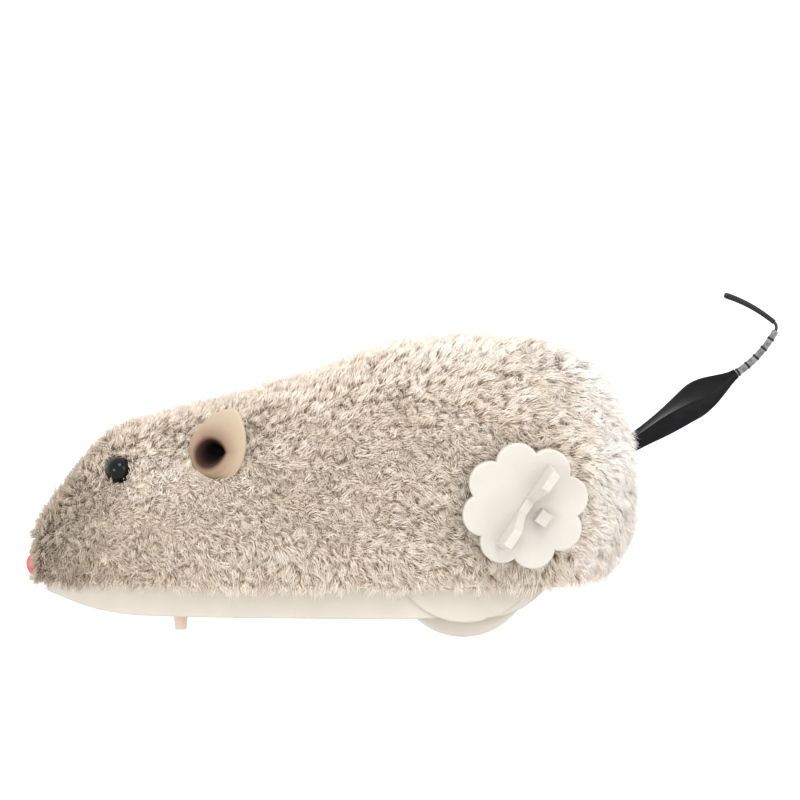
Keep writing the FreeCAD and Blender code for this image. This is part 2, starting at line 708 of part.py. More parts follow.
def make_motor_plates():
    centre = idler_centre()
    for side, sign in SIDES.items():
        near_y = f"{sign} * (plate_inner_y + plate_thickness / 2) - plate_thickness / 2"
        body = new_body("motor_plate_" + side, (0, near_y, 0), ALONG_Y)
        outline = new_sketch(body, "PlateOutline" + side)
        foot = dim("base_bottom_z") + dim("base_floor")
        corners = [(x, foot) for x in PLATE_FOOT] + PLATE_CORNERS
        sketch_polygon(outline, [(x, -z) for x, z in corners])
        pad(body, outline, "plate_thickness", "Plate" + side)
        for number, x in enumerate(("tab_front_x", "tab_rear_x"), start=1):
            start = "-plate_tab" if sign < 0 else "plate_thickness"
            tab = new_sketch(body, f"TabOutline{side}{number}", height=start)
            left = dim(x)
            right = left + dim("tab_length")
            top = foot + dim("tab_thickness")
            sketch_polygon(tab, [(left, -foot), (right, -foot), (right, -top), (left, -top)])
            pad(body, tab, "plate_tab", f"Tab{side}{number}")
        holes = new_sketch(body, "PivotHoles" + side)
        sketch_circle(holes, "arbor_radius + running_clearance", "arbor_x", "-arbor_z")
        sketch_circle(holes, "axle_radius + running_clearance", "axle_x", "-axle_z")
        sketch_circle(holes, "axle_radius", centre.x, -centre.z)
        for x, z in PILLARS:
            sketch_circle(holes, 0.8, x, -z)
        pocket_through(body, holes, "Pivots" + side)
        screw_holes = new_sketch(body, "FootHoles" + side, role="XZ_Plane")
        outwards = sign * (dim("plate_thickness") / 2 + dim("plate_tab") / 2) + dim("plate_thickness") / 2
        for x in ("tab_front_x", "tab_rear_x"):
            sketch_circle(screw_holes, 0.95, f"{x} + tab_length / 2", outwards)
        pocket_through(body, screw_holes, "FootScrewHoles" + side)


def make_pillars():
    bars = []
    screws = []
    for number, (x, z) in enumerate(PILLARS, start=1):
        spot = (x, "-plate_inner_y", z)
        bars.append(cylinder(f"Pillar{number}", "pillar_radius", "2 * plate_inner_y", spot, ALONG_Y))
        for side, sign in SIDES.items():
            outer = f"{sign} * (plate_inner_y + plate_thickness + 0.5) - 0.5"
            shank = f"{sign} * (plate_inner_y + plate_thickness / 2) - plate_thickness / 2"
            head = cylinder(f"PillarHead{side}{number}", "pillar_screw_head", 1, (x, outer, z), ALONG_Y)
            neck = cylinder(f"PillarNeck{side}{number}", 0.78, "plate_thickness", (x, shank, z), ALONG_Y)
            screws.append(fuse(f"PillarScrew{side}{number}", head, neck))
    subpart("motor_pillars", group("MotorPillars", *bars))
    subpart("pillar_screws", group("PillarScrews", *screws))


def make_motor_screws():
    screws = []
    for side, sign in SIDES.items():
        y = f"{sign} * (plate_inner_y + plate_thickness + plate_tab / 2)"
        for number, x in enumerate(("tab_front_x", "tab_rear_x"), start=1):
            spot = f"{x} + tab_length / 2"
            name = f"Motor{side}{number}"
            head_z = "base_bottom_z + base_floor + tab_thickness"
            shank = cylinder(name + "Shank", 0.72, 3.2, (spot, y, "base_bottom_z + 0.4"))
            head = cylinder(name + "Head", 1.5, 0.9, (spot, y, head_z))
            screws.append(fuse(name + "Screw", shank, head))
    subpart("motor_screws", group("MotorScrews", *screws))


def strip_edges(origin, line, offset):
    """Half turns of the mainspring's strip, one side of it, from the inside out."""
    half_pitch = dim("spring_pitch") / 2
    across = Vector(-line.z, 0, line.x)
    edges = []
    for half_turn in range(int(dim("spring_turns")) * 2):
        radius = dim("spring_inner") + half_turn * half_pitch + offset
        centre = origin + line * (half_pitch if half_turn % 2 else 0)
        sign = -1 if half_turn % 2 else 1
        start = centre + line * (radius * sign)
        middle = centre + across * (radius * sign)
        end = centre - line * (radius * sign)
        edges.append(Part.Arc(start, middle, end).toShape())
    return edges


def make_mainspring():
    """A coiled steel strip: its inner end turns round the arbor, its outer end loops a pillar."""
    origin = Vector(dim("arbor_x"), 0, dim("arbor_z"))
    pillar = Vector(SPRING_PILLAR[0], 0, SPRING_PILLAR[1])
    half = dim("spring_strip") / 2
    last_radius = dim("spring_inner") + dim("spring_turns") * dim("spring_pitch")
    loop_radius = dim("pillar_radius") + 0.1 + half
    reach = pillar - origin
    angle = math.atan2(reach.z, reach.x) - math.acos((last_radius - loop_radius) / reach.Length)
    line = Vector(math.cos(angle), 0, math.sin(angle))
    outer = strip_edges(origin, line, half)
    inner = strip_edges(origin, line, -half)
    ends = []
    for number in (0, -1):
        corner = outer[number].Vertexes[number].Point
        ends.append(Part.LineSegment(corner, inner[number].Vertexes[number].Point).toShape())
    coil = Part.Face(Part.Wire(Part.sortEdges(outer + inner + ends)[0]))
    coil_end = origin + line * last_radius
    loop_start = pillar + line * loop_radius
    corners = [coil_end + line * half, loop_start + line * half]
    corners += [loop_start - line * half, coil_end - line * half]
    arm = Part.Face(Part.makePolygon(corners + corners[:1]))
    depth = Vector(0, dim("spring_width"), 0)
    ring = Part.makeCylinder(loop_radius + half, depth.y, pillar, Y_AXIS).cut(
        Part.makeCylinder(loop_radius - half, depth.y, pillar, Y_AXIS))
    spring = doc.addObject("Part::Feature", "Mainspring")
    spring.Shape = coil.extrude(depth).fuse([arm.extrude(depth), ring]).removeSplitter()
    spring.Placement = Placement(Vector(0, -8.5, 0), UPRIGHT)
    subpart("mainspring", spring)


def make_great_wheel():
    body = new_body("great_wheel", ("arbor_x", 0, "arbor_z"), ALONG_Y)
    gear(body, "Great", "great_teeth", "first_module", "gear_width", 0)
    boss(body, "GreatDrum", "drum_radius", "gear_width", "drum_length")
    hole = new_sketch(body, "LighteningCircle")
    sketch_circle(hole, 1.9, 7.4)
    window = pocket_through(body, hole, "Lightening")
    polar_pattern(body, window, 5, "LighteningHoles")
    bore(body, "GreatBore", "arbor_radius + running_clearance")


def make_winding_train():
    """The arbor, its clutch drum, the wrap spring that grips both drums, and the key."""
    shaft = cylinder("ArborShaft", "arbor_radius", 39.5, ("arbor_x", -27.5, "arbor_z"), ALONG_Y)
    start = "gear_width + drum_length + 0.2"
    drum = cylinder("ArborDrum", "drum_radius", "drum_length", ("arbor_x", start, "arbor_z"), ALONG_Y)
    corner = ("arbor_x - square_side / 2", "-square_end_y", "arbor_z - square_side / 2")
    square = box("ArborSquare", "square_side", "square_length", "square_side", corner)
    subpart("winding_arbor", fuse("WindingArbor", shaft, drum, square))
    spring_inner = "drum_radius + 0.06"
    subpart("clutch_spring", tube(
        "ClutchSpring", spring_inner + " + clutch_thickness", spring_inner, "2 * drum_length - 0.6",
        ("arbor_x", "gear_width + 0.4", "arbor_z")))
    subpart("winding_bush", fuse(
        "WindingBush",
        tube("BushSleeve", "arbor_radius + 1.17", "arbor_radius + running_clearance", 4.4,
             ("arbor_x", -25.4, "arbor_z")),
        tube("BushFlange", "arbor_radius + 2.6", "arbor_radius + running_clearance", 0.9,
             ("arbor_x", -21.9, "arbor_z"))))


def make_winding_key():
    """Flower-shaped disc of round petals, a grip with two ears across it, and a hub behind."""
    body = new_body("winding_key", ("arbor_x", "-key_back_y", "arbor_z"), Rotation(X_AXIS, 90))
    turned = Rotation(X_AXIS, 90).multiply(Rotation(Z_AXIS, dim("petal_phase")))
    body.Placement = Placement(Vector(), turned)
    middle = new_sketch(body, "DiscCircle")
    sketch_circle(middle, "petal_circle")
    pad(body, middle, "key_disc", "KeyDisc")
    petal = new_sketch(body, "PetalCircle")
    sketch_circle(petal, "petal_radius", "petal_circle")
    flower = polar_pattern(body, pad(body, petal, "key_disc", "Petal"), "petals", "Petals")
    doc.recompute()
    rims = [f"Edge{number}" for number, edge in enumerate(flower.Shape.Edges, start=1)
            if edge.BoundBox.ZLength < 1e-6 and edge.CenterOfMass.z > dim("key_disc") - 1e-6]
    round_over = body.newObject("PartDesign::Fillet", "RimRound")
    round_over.Base = (flower, rims)
    round_over.Radius = 0.5
    body.Tip = round_over
    grip = new_sketch(body, "GripOutline", role="XZ_Plane")
    half = dim("grip_length") / 2
    top = dim("key_disc") + dim("grip_height")
    waist = dim("key_disc") + dim("grip_waist")
    sketch_polygon(grip, [
        (-half, 0.5), (-half + 1.2, top), (-half + 5.2, top), (-1.6, waist),
        (1.6, waist), (half - 5.2, top), (half - 1.2, top), (half, 0.5)])
    fin = pad(body, grip, "grip_thickness", "Grip")
    fin.Midplane = True
    nub = new_sketch(body, "NubOutline", height="key_disc / 2")
    near, far = 1.3 - dim("nub_offset"), -1.3 - dim("nub_offset")
    sketch_polygon(nub, [(-1.5, far), (1.5, far), (1.5, near), (-1.5, near)])
    pad(body, nub, "key_disc / 2 + nub_height", "Nub")
    hub = new_sketch(body, "HubCircle", height="-key_hub_length")
    sketch_circle(hub, "key_hub_radius")
    pad(body, hub, "key_hub_length + 0.4", "Hub")
    socket = new_sketch(body, "SocketOutline", height="-key_hub_length")
    side = dim("square_side") / 2 + 0.03
    turn = math.radians(-dim("petal_phase"))
    corners = []
    for quarter in range(4):
        angle = turn + math.radians(45 + 90 * quarter)
        corners.append((side * math.sqrt(2) * math.cos(angle), side * math.sqrt(2) * math.sin(angle)))
    sketch_polygon(socket, corners)
    hole = body.newObject("PartDesign::Pocket", "Socket")
    hole.Profile = socket
    hole.Reversed = True
    bind(hole, "Length", "socket_depth")


def make_idler():
    centre = idler_centre()
    arbor = Vector(dim("arbor_x"), 0, dim("arbor_z"))
    phase = mesh_phase(dim("great_teeth"), 0, dim("pinion_teeth"), arbor, centre)
    body = new_body("idler_gear", (centre.x, 0, centre.z), ALONG_Y)
    body.Placement = Placement(Vector(), ALONG_Y.multiply(Rotation(Z_AXIS, -phase)))
    gear(body, "IdlerPinion", "pinion_teeth", "first_module", "gear_width + 0.6", -0.3)
    gear(body, "IdlerWheel", "idler_teeth", "second_module", 2.0, 3.0)
    boss(body, "IdlerHub", 2.2, 2.4, 0.8)
    boss(body, "IdlerCollar", 2.0, 5.0, 4.6)
    bore(body, "IdlerBore", "axle_radius + running_clearance")
    subpart("idler_shaft", cylinder(
        "IdlerShaft", "axle_radius", "2 * (plate_inner_y + plate_thickness)",
        (centre.x, "-plate_inner_y - plate_thickness", centre.z), ALONG_Y))
    return centre, phase


def make_axle(centre, idler_phase):
    axle = Vector(dim("axle_x"), 0, dim("axle_z"))
    phase = mesh_phase(dim("idler_teeth"), idler_phase, dim("pinion_teeth"), centre, axle)
    body = new_body("axle_pinion", ("axle_x", 0, "axle_z"), ALONG_Y)
    body.Placement = Placement(Vector(), ALONG_Y.multiply(Rotation(Z_AXIS, -phase)))
    gear(body, "AxlePinion", "pinion_teeth", "second_module", 2.6, 2.7)
    boss(body, "PinionHub", 1.9, 5.3, 3.6)
    bore(body, "PinionBore", "axle_radius")
    end = ("axle_x", "-wheel_outer_y - 0.4", "axle_z")
    subpart("drive_axle", cylinder("DriveAxle", "axle_radius", "2 * wheel_outer_y + 0.8", end, ALONG_Y))
    spacers = []
    for side, sign in SIDES.items():
        near = "plate_inner_y + plate_thickness + 0.15"
        length = f"wheel_outer_y - wheel_width - 0.8 - ({near})"
        start = near if sign > 0 else f"-({near}) - ({length})"
        spacers.append(tube("Spacer" + side, 2.0, "axle_radius", length, ("axle_x", start, "axle_z")))
        make_drive_wheel(side, sign)
    subpart("axle_spacers", group("AxleSpacers", *spacers))


def make_drive_wheel(side, sign):
    """A moulded wheel: flat tread and face, a dished middle with six holes, a hub pressed on the axle."""
    inner = f"{sign} * (wheel_outer_y - wheel_width / 2) - wheel_width / 2"
    body = new_body("drive_wheel_" + side, ("axle_x", inner, "axle_z"), ALONG_Y)
    tread = boss(body, "Tread" + side, "wheel_radius", 0, "wheel_width")
    doc.recompute()
    rims = [f"Edge{number}" for number, edge in enumerate(tread.Shape.Edges, start=1) if edge.Closed]
    soft_edge = body.newObject("PartDesign::Fillet", "TreadRound" + side)
    soft_edge.Base = (tread, rims)
    soft_edge.Radius = 0.7
    body.Tip = soft_edge
    narrow, wide = "wheel_dish_radius", "wheel_radius - wheel_rim"
    far_radius, near_radius = (narrow, wide) if sign > 0 else (wide, narrow)
    for face, start, radius in (("Near", "0", near_radius), ("Far", "wheel_width", far_radius)):
        ring = new_sketch(body, f"Recess{face}Circles{side}", height=start)
        sketch_circle(ring, radius)
        sketch_circle(ring, "wheel_hub_radius")
        recess = body.newObject("PartDesign::Pocket", f"Recess{face}{side}")
        recess.Profile = ring
        bind(recess, "Length", "wheel_dish_depth")
        recess.Reversed = face == "Near"
    hole = new_sketch(body, "WebCircle" + side)
    sketch_circle(hole, "web_hole_radius", "web_hole_circle")
    polar_pattern(body, pocket_through(body, hole, "WebHole" + side), 6, "WebHoles" + side)
    bore(body, "WheelBore" + side, "axle_radius")


# ---- tail ---------------------------------------------------------------------------------------

def tail_axis():
    rise = math.radians(dim("tail_rise"))
    return Vector(math.cos(rise), 0, math.sin(rise))


def tail_rotation():
    return Rotation(Z_AXIS, tail_axis())


def tail_point(distance):
    """Position, as formulas, at this distance along the tail's straight root."""
    step = tail_axis() * distance
    return (f"tail_root_x + {step.x}", 0, f"tail_root_z + {step.z}")


def tail_arc(start, heading, radius, turn):
    """An arc that turns left, seen from the -Y side, with the point and heading where it ends."""
    leftwards = Vector(-math.sin(heading), 0, math.cos(heading))
    centre = start + leftwards * radius
    points = []
    for angle in (heading + turn / 2, heading + turn):
        points.append(centre - Vector(-math.sin(angle), 0, math.cos(angle)) * radius)
    return Part.Arc(start, points[0], points[1]).toShape(), points[1], heading + turn


def tail_stretches():
    """The tail's centre line after the bulb: the upward bend, the tight hook and the last stretch."""
    spot = Vector(dim("tail_root_x"), 0, dim("tail_root_z")) + tail_axis() * dim("tail_straight")
    heading = math.radians(dim("tail_rise"))
    stretches = []
    for name in ("bend", "hook", "end"):
        turn = math.radians(dim("tail_" + name))
        edge, spot, heading = tail_arc(spot, heading, dim(f"tail_{name}_radius"), turn)
        stretches.append(edge)
    return stretches


def rod_along(edges, radius):
    path = Part.Wire(edges)
    start = path.Edges[0].valueAt(path.Edges[0].FirstParameter)
    heading = path.Edges[0].tangentAt(path.Edges[0].FirstParameter)
    section = Part.Wire([Part.Circle(start, heading, radius).toShape()])
    return path.makePipeShell([section], True, False)


def shaped(label, shape):
    feature = doc.addObject("Part::Feature", label + "_solid")
    feature.Shape = shape
    return subpart(label, feature)


def make_tail():
    bend, hook, end = tail_stretches()
    root = Vector(dim("tail_root_x"), 0, dim("tail_root_z"))
    axis = tail_axis()
    straight = Part.LineSegment(root + axis * 0.6, root + axis * dim("tail_straight")).toShape()
    wire_radius = dim("tail_wire_radius")
    shaped("tail_wire", rod_along([straight, bend, hook, end], wire_radius))
    bore_radius = wire_radius + 0.02

    bulb_points = [(0.5, 1.25), (5.0, 1.75), (17.0, dim("tail_bulb_radius"))]
    bulb_points += [(28.0, 1.1), (dim("tail_straight"), 0.95)]
    outer = [Vector(radius, 0, along) for along, radius in bulb_points]
    curve = Part.BSplineCurve()
    curve.interpolate(outer)
    corners = [outer[-1], Vector(bore_radius, 0, outer[-1].z), Vector(bore_radius, 0, outer[0].z), outer[0]]
    edges = [curve.toShape()]
    edges += [Part.LineSegment(start, stop).toShape() for start, stop in zip(corners, corners[1:])]
    bulb = Part.Face(Part.Wire(edges)).revolve(Vector(), Z_AXIS, 360)
    bulb = Part.Solid(bulb) if bulb.ShapeType == "Shell" else bulb
    shaped("tail_bulb", bulb).Placement = Placement(root, tail_rotation())

    sleeve = rod_along([bend], dim("tail_sleeve_radius")).cut(rod_along([bend], bore_radius))
    shaped("tail_sleeve", sleeve)
    tip = rod_along([end], dim("tail_tip_radius")).cut(rod_along([end], bore_radius))
    shaped("tail_tip", tip)

    plug = fuse(
        "TailPlugSolid",
        cylinder("PlugBar", "plug_radius", "plug_length", tail_point(-9.3), tail_rotation()),
        cylinder("PlugCollar", "plug_radius + 0.9", 0.9, tail_point(-10.2), tail_rotation()),
        cylinder("PlugHead", "plug_radius + 0.5", 0.8, tail_point(-0.9), tail_rotation()))
    subpart("tail_plug", plug)
    subpart("tail_grommet", fuse(
        "TailGrommet",
        tube("GrommetSleeve", "grommet_radius - 0.63", "plug_radius + running_clearance", 7.6,
             tail_point(-9.0), tail_rotation()),
        tube("GrommetFlange", "grommet_radius + 0.2", "plug_radius + running_clearance", 0.9,
             tail_point(-2.0), tail_rotation())))


make_fur_cover()
make_body_shell()
make_base_shell()
make_base_screws()
make_front_peg()
make_face()
make_ears()
make_motor_plates()
make_pillars()
make_motor_screws()
make_mainspring()
make_great_wheel()
make_winding_train()
make_winding_key()
make_axle(*make_idler())
make_tail()
doc.recompute()

broken = [item.Label for item in doc.Objects if {"Invalid", "Error"} & set(item.State)]
broken += [label for label, item in subparts.items() if item.Shape.isNull() or not item.Shape.isValid()]
if broken:
    raise RuntimeError("these objects failed: " + ", ".join(broken))

os.makedirs("parts", exist_ok=True)
for label, item in subparts.items():
    item.Shape.exportStep(f"parts/{label}.step")
    print(f"{label:20s} {item.Shape.Volume:9.1f} mm3, {len(item.Shape.Solids)} solids")
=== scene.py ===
"""Looks of the clockwork mouse: plush pile, leather ears, bead eyes, wrapped tail and plastics.

Everything is in metres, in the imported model's own frame: -X is the nose, -Y the side with the key.
"""

import json
import math

import bpy
import numpy as np
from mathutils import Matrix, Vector
from mathutils.kdtree import KDTree


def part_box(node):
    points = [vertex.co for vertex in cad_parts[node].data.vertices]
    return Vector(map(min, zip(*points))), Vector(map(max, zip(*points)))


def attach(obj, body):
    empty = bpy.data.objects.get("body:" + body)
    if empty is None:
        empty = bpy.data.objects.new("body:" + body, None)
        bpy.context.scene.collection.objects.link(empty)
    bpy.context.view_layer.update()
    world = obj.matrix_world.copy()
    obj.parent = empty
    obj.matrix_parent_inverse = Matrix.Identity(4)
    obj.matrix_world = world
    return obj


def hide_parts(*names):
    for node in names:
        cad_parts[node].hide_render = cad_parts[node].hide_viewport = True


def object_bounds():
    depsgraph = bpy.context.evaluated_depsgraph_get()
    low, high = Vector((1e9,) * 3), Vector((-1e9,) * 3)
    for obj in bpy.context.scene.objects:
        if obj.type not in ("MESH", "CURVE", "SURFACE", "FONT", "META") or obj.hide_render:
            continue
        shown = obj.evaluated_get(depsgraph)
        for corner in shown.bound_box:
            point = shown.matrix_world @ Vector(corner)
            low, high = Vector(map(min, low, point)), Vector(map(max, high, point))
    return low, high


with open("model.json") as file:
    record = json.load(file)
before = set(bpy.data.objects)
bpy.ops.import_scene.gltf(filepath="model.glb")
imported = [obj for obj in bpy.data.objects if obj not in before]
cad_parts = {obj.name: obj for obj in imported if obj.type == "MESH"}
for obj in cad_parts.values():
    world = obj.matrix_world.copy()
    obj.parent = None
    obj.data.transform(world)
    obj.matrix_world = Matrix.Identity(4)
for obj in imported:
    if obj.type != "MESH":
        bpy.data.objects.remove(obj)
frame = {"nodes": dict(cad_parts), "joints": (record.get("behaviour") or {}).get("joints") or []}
cad_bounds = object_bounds()

MM = 0.001
SEED = 20
SIDES = {"left": -1, "right": 1}

# camera, at the angle of the mouse's portrait
AZIMUTH = math.radians(-7.0)
ELEVATION = math.radians(5.0)
DISTANCE = 750 * MM
FIELD = 172.3 * MM         # what the picture spans at that distance
FRAME_RIGHT = 47.2 * MM    # picture's centre from the front peg's foot, the frame's origin
FRAME_UP = 49.3 * MM
SENSOR = 36.0
FLOOR_REACH = 1.5

# fur pile
STRANDS = 130000
PIECES = 8
FUR_AREA = 16000 * MM**2   # outer face of the cover, roughly
ROOT_DEPTH = 2.7 * MM      # pile roots, inside the fur's outer form
SKIN_DEPTH = 2.5 * MM      # face of the backing cloth
CLUMP_AREA = 1.7 * MM**2
TONES = 48                 # shades of strand
HAIR_WIDTH = 0.165 * MM

HEM_BAND = 0.2 * MM        # what counts as the hem's edge, above the cover's lowest point
PANEL_WALL = 0.5 * MM      # cloth turned under behind the base
TAIL_CLEARING = 3.4 * MM   # bare ring in the pile round the tail's root
HUB_CLEARING = 3.6 * MM    # and round the key's hub

EYE_RADIUS = 2.9 * MM
NOSE_RADIUS = 2.6 * MM
SOCKET_REACH = EYE_RADIUS + 0.3 * MM
KEY_SWEEP = 15.0 * MM      # the key turns within this distance of its axis
KEY_GRIP = 8.0 * MM        # height of the key's ears above its disc
KEY_DISC = 1.7 * MM

EAR_LONG = 8.0 * MM        # half the ear's length
EAR_WIDE = 5.9 * MM        # half its width
EAR_WALL = 0.8 * MM
EAR_PROUD = 2.2 * MM       # how far the leaf stands out from the middle of the CAD ear
HOLE_RADIUS = 3.0 * MM     # hole in the ear's cup
HOLE_DEPTH = 5.0 * MM


def joint(name):
    return next(item for item in frame["joints"] if item["name"] == name)


def joint_origin(name):
    return Vector(joint(name)["pos_m"])


def linear(red, green, blue):
    """A screen colour, 0 to 255, as the shader's own linear colour."""
    def channel(value):
        share = value / 255
        return share / 12.92 if share <= 0.04045 else ((share + 0.055) / 1.055) ** 2.4
    return (channel(red), channel(green), channel(blue), 1.0)


# ---- materials -----------------------------------------------------------------------------------

def new_material(name, roughness=0.5, specular=0.5, metallic=0.0):
    material = bpy.data.materials.new(name)
    material.use_nodes = True
    shader = material.node_tree.nodes["Principled BSDF"]
    shader.inputs["Roughness"].default_value = roughness
    shader.inputs["Specular IOR Level"].default_value = specular
    shader.inputs["Metallic"].default_value = metallic
    return material, material.node_tree.nodes, material.node_tree.links, shader


def add_noise(nodes, links, scale, detail=4.0, stretch=(1, 1, 1)):
    place = nodes.new("ShaderNodeTexCoord")
    mapping = nodes.new("ShaderNodeMapping")
    mapping.inputs["Scale"].default_value = stretch
    noise = nodes.new("ShaderNodeTexNoise")
    noise.inputs["Scale"].default_value = scale
    noise.inputs["Detail"].default_value = detail
    links.new(place.outputs["Object"], mapping.inputs["Vector"])
    links.new(mapping.outputs["Vector"], noise.inputs["Vector"])
    return noise


def add_ramp(nodes, links, source, stops):
    ramp = nodes.new("ShaderNodeValToRGB")
    while len(ramp.color_ramp.elements) < len(stops):
        ramp.color_ramp.elements.new(0.5)
    for element, (position, colour) in zip(ramp.color_ramp.elements, stops):
        element.position = position
        element.color = colour
    links.new(source, ramp.inputs["Fac"])
    return ramp


def surface(name, low, high, roughness, scale, bump=0.0, bump_scale=None, bevel=0.0, **finish):
    """A finish whose colour drifts between two shades, with a fine bump and softened edges."""
    material, nodes, links, shader = new_material(name, roughness[0], **finish)
    drift = add_noise(nodes, links, scale)
    ramp = add_ramp(nodes, links, drift.outputs["Fac"], [(0.3, low), (0.7, high)])
    links.new(ramp.outputs["Color"], shader.inputs["Base Color"])
    wear = nodes.new("ShaderNodeMapRange")
    wear.inputs["To Min"].default_value = roughness[0]
    wear.inputs["To Max"].default_value = roughness[1]
    links.new(drift.outputs["Fac"], wear.inputs["Value"])
    links.new(wear.outputs["Result"], shader.inputs["Roughness"])
    relief = nodes.new("ShaderNodeBump")
    relief.inputs["Strength"].default_value = bump
    relief.inputs["Distance"].default_value = 0.1 * MM
    grain = add_noise(nodes, links, bump_scale or scale * 10)
    links.new(grain.outputs["Fac"], relief.inputs["Height"])
    if bevel:
        soften = nodes.new("ShaderNodeBevel")
        soften.samples = 4
        soften.inputs["Radius"].default_value = bevel
        links.new(soften.outputs["Normal"], relief.inputs["Normal"])
    links.new(relief.outputs["Normal"], shader.inputs["Normal"])
    return material


def fur_material():
    """Colour by strand and along it: the UV map's x picks the tone, its y runs root to tip and
    darkens the root, partly the fibres' own colour and partly painted shade deep in the pile.
    """
    material, nodes, links, shader = new_material("fur", roughness=0.62, specular=0.22)
    where = nodes.new("ShaderNodeUVMap")
    where.uv_map = "OFBake"
    split = nodes.new("ShaderNodeSeparateXYZ")
    links.new(where.outputs["UV"], split.inputs["Vector"])
    tips = add_ramp(nodes, links, split.outputs["X"], [
        (0.00, linear(166, 150, 130)),
        (0.20, linear(214, 199, 181)),
        (0.38, linear(238, 226, 211)),
        (0.50, linear(244, 235, 220)),
        (0.62, linear(250, 241, 233)),
        (0.80, linear(254, 249, 243)),
        (1.00, linear(255, 254, 251)),
    ])
    # darker towards the root: partly the fibres' own darker roots, partly painted shade deep in the
    # pile
    depth = add_ramp(nodes, links, split.outputs["Y"], [
        (0.00, linear(198, 186, 172)),
        (0.40, linear(238, 232, 224)),
        (0.75, linear(255, 254, 253)),
        (1.00, linear(255, 255, 255)),
    ])
    mix = nodes.new("ShaderNodeMix")
    mix.data_type = "RGBA"
    mix.blend_type = "MULTIPLY"
    mix.inputs["Factor"].default_value = 1.0
    links.new(tips.outputs["Color"], mix.inputs["A"])
    links.new(depth.outputs["Color"], mix.inputs["B"])
    links.new(mix.outputs["Result"], shader.inputs["Base Color"])
    shader.inputs["Sheen Weight"].default_value = 0.35
    shader.inputs["Sheen Roughness"].default_value = 0.5
    return material


# ---- mesh helpers --------------------------------------------------------------------------------

def add_object(name, mesh, material):
    piece = bpy.data.objects.new(name, mesh)
    bpy.context.scene.collection.objects.link(piece)
    mesh.materials.append(material)
    return piece


def smooth(mesh):
    mesh.polygons.foreach_set("use_smooth", [True] * len(mesh.polygons))
    mesh.update()


def mesh_of(name, points, faces):
    mesh = bpy.data.meshes.new(name)
    mesh.from_pydata([tuple(point) for point in points], [], [tuple(face) for face in faces])
    mesh.validate()
    smooth(mesh)
    return mesh


def grid_faces(rows, columns, closed=True):
    """Quads of a grid whose rows are rings of points."""
    faces = []
    for row in range(rows - 1):
        for column in range(columns if closed else columns - 1):
            after = (column + 1) % columns
            faces.append((row * columns + column, row * columns + after,
                          (row + 1) * columns + after, (row + 1) * columns + column))
    return faces


def capped_tube(name, rings, material):
    """A closed solid through rings of points, with a flat cap at both ends."""
    count = len(rings[0])
    faces = grid_faces(len(rings), count)
    faces.append(tuple(reversed(range(count))))
    last = (len(rings) - 1) * count
    faces.append(tuple(range(last, last + count)))
    points = [point for ring in rings for point in ring]
    return add_object(name, mesh_of(name, points, faces), material)


def subdivide(piece, levels):
    modifier = piece.modifiers.new("Subdivision", "SUBSURF")
    modifier.levels = levels
    modifier.render_levels = levels


def finish_piece(piece, body, slot, *nodes):
    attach(piece, body)
    if nodes:
        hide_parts(*nodes)
    return piece


# ---- fur -----------------------------------------------------------------------------------------

def node_triangles(node):
    """Corner positions, corner indices and normals of a CAD node's triangles."""
    mesh = frame["nodes"][node].data
    mesh.calc_loop_triangles()
    points = np.empty(len(mesh.vertices) * 3)
    mesh.vertices.foreach_get("co", points)
    corners = np.empty(len(mesh.loop_triangles) * 3, dtype=np.int64)
    mesh.loop_triangles.foreach_get("vertices", corners)
    points = points.reshape(-1, 3)
    corners = corners.reshape(-1, 3)
    first, second, third = (points[corners[:, k]] for k in range(3))
    normals = np.cross(second - first, third - first)
    areas = np.linalg.norm(normals, axis=1) / 2
    return points, corners, normals / np.maximum(2 * areas, 1e-16)[:, None], areas


def core_points(spots, points):
    """For each spot, a point on the mouse's core line, straight in from the outer fur."""
    low, high = points.min(0), points.max(0)
    length = high[0] - low[0]
    bins = 40
    places = np.clip(((points[:, 0] - low[0]) / length * bins).astype(int), 0, bins - 1)
    tops = np.array([points[places == k, 2].max() for k in range(bins)])
    core_x = np.clip(spots[:, 0], low[0] + 0.12 * length, high[0] - 0.16 * length)
    top = np.interp(core_x, low[0] + (np.arange(bins) + 0.5) * length / bins, tops)
    return np.stack([core_x, np.zeros(len(spots)), low[2] + 0.45 * (top - low[2])], axis=1)


def unit(vectors):
    return vectors / np.maximum(np.linalg.norm(vectors, axis=1), 1e-12)[:, None]


def waves(spots, length, seed, count=7):
    """Smooth noise from -1 to 1 that changes over about this length."""
    rng = np.random.default_rng(seed)
    directions = unit(rng.normal(size=(count, 3)))
    directions = directions * rng.uniform(0.7, 1.4, (count, 1)) * 2 * math.pi / length
    phases = rng.uniform(0, 2 * math.pi, count)
    total = np.sin(spots @ directions.T + phases).sum(axis=1) / math.sqrt(count)
    peak = 1.6
    return np.clip(total, -peak, peak) / peak


def ease(values, start, end):
    share = np.clip((values - start) / (end - start), 0, 1)
    return share * share * (3 - 2 * share)


def outer_faces(points, corners, normals, areas):
    """Which of the cover's triangles face outwards, bar the hem's edge and the holes' walls."""
    middles = points[corners].mean(axis=1)
    outwards = unit(middles - core_points(middles, points))
    facing = (normals * outwards).sum(axis=1) > 0.3
    hem = (middles[:, 2] < points[:, 2].min() + HEM_BAND) & (normals[:, 2] < -0.9)
    sockets = np.zeros(len(middles), dtype=bool)
    for centre in bead_centres():
        inwards = unit(centre - middles)
        near = np.linalg.norm(middles - centre, axis=1) < SOCKET_REACH
        sockets |= near & ((inwards * normals).sum(axis=1) > 0.65)
    return facing & ~hem & ~sockets & (areas > 0)


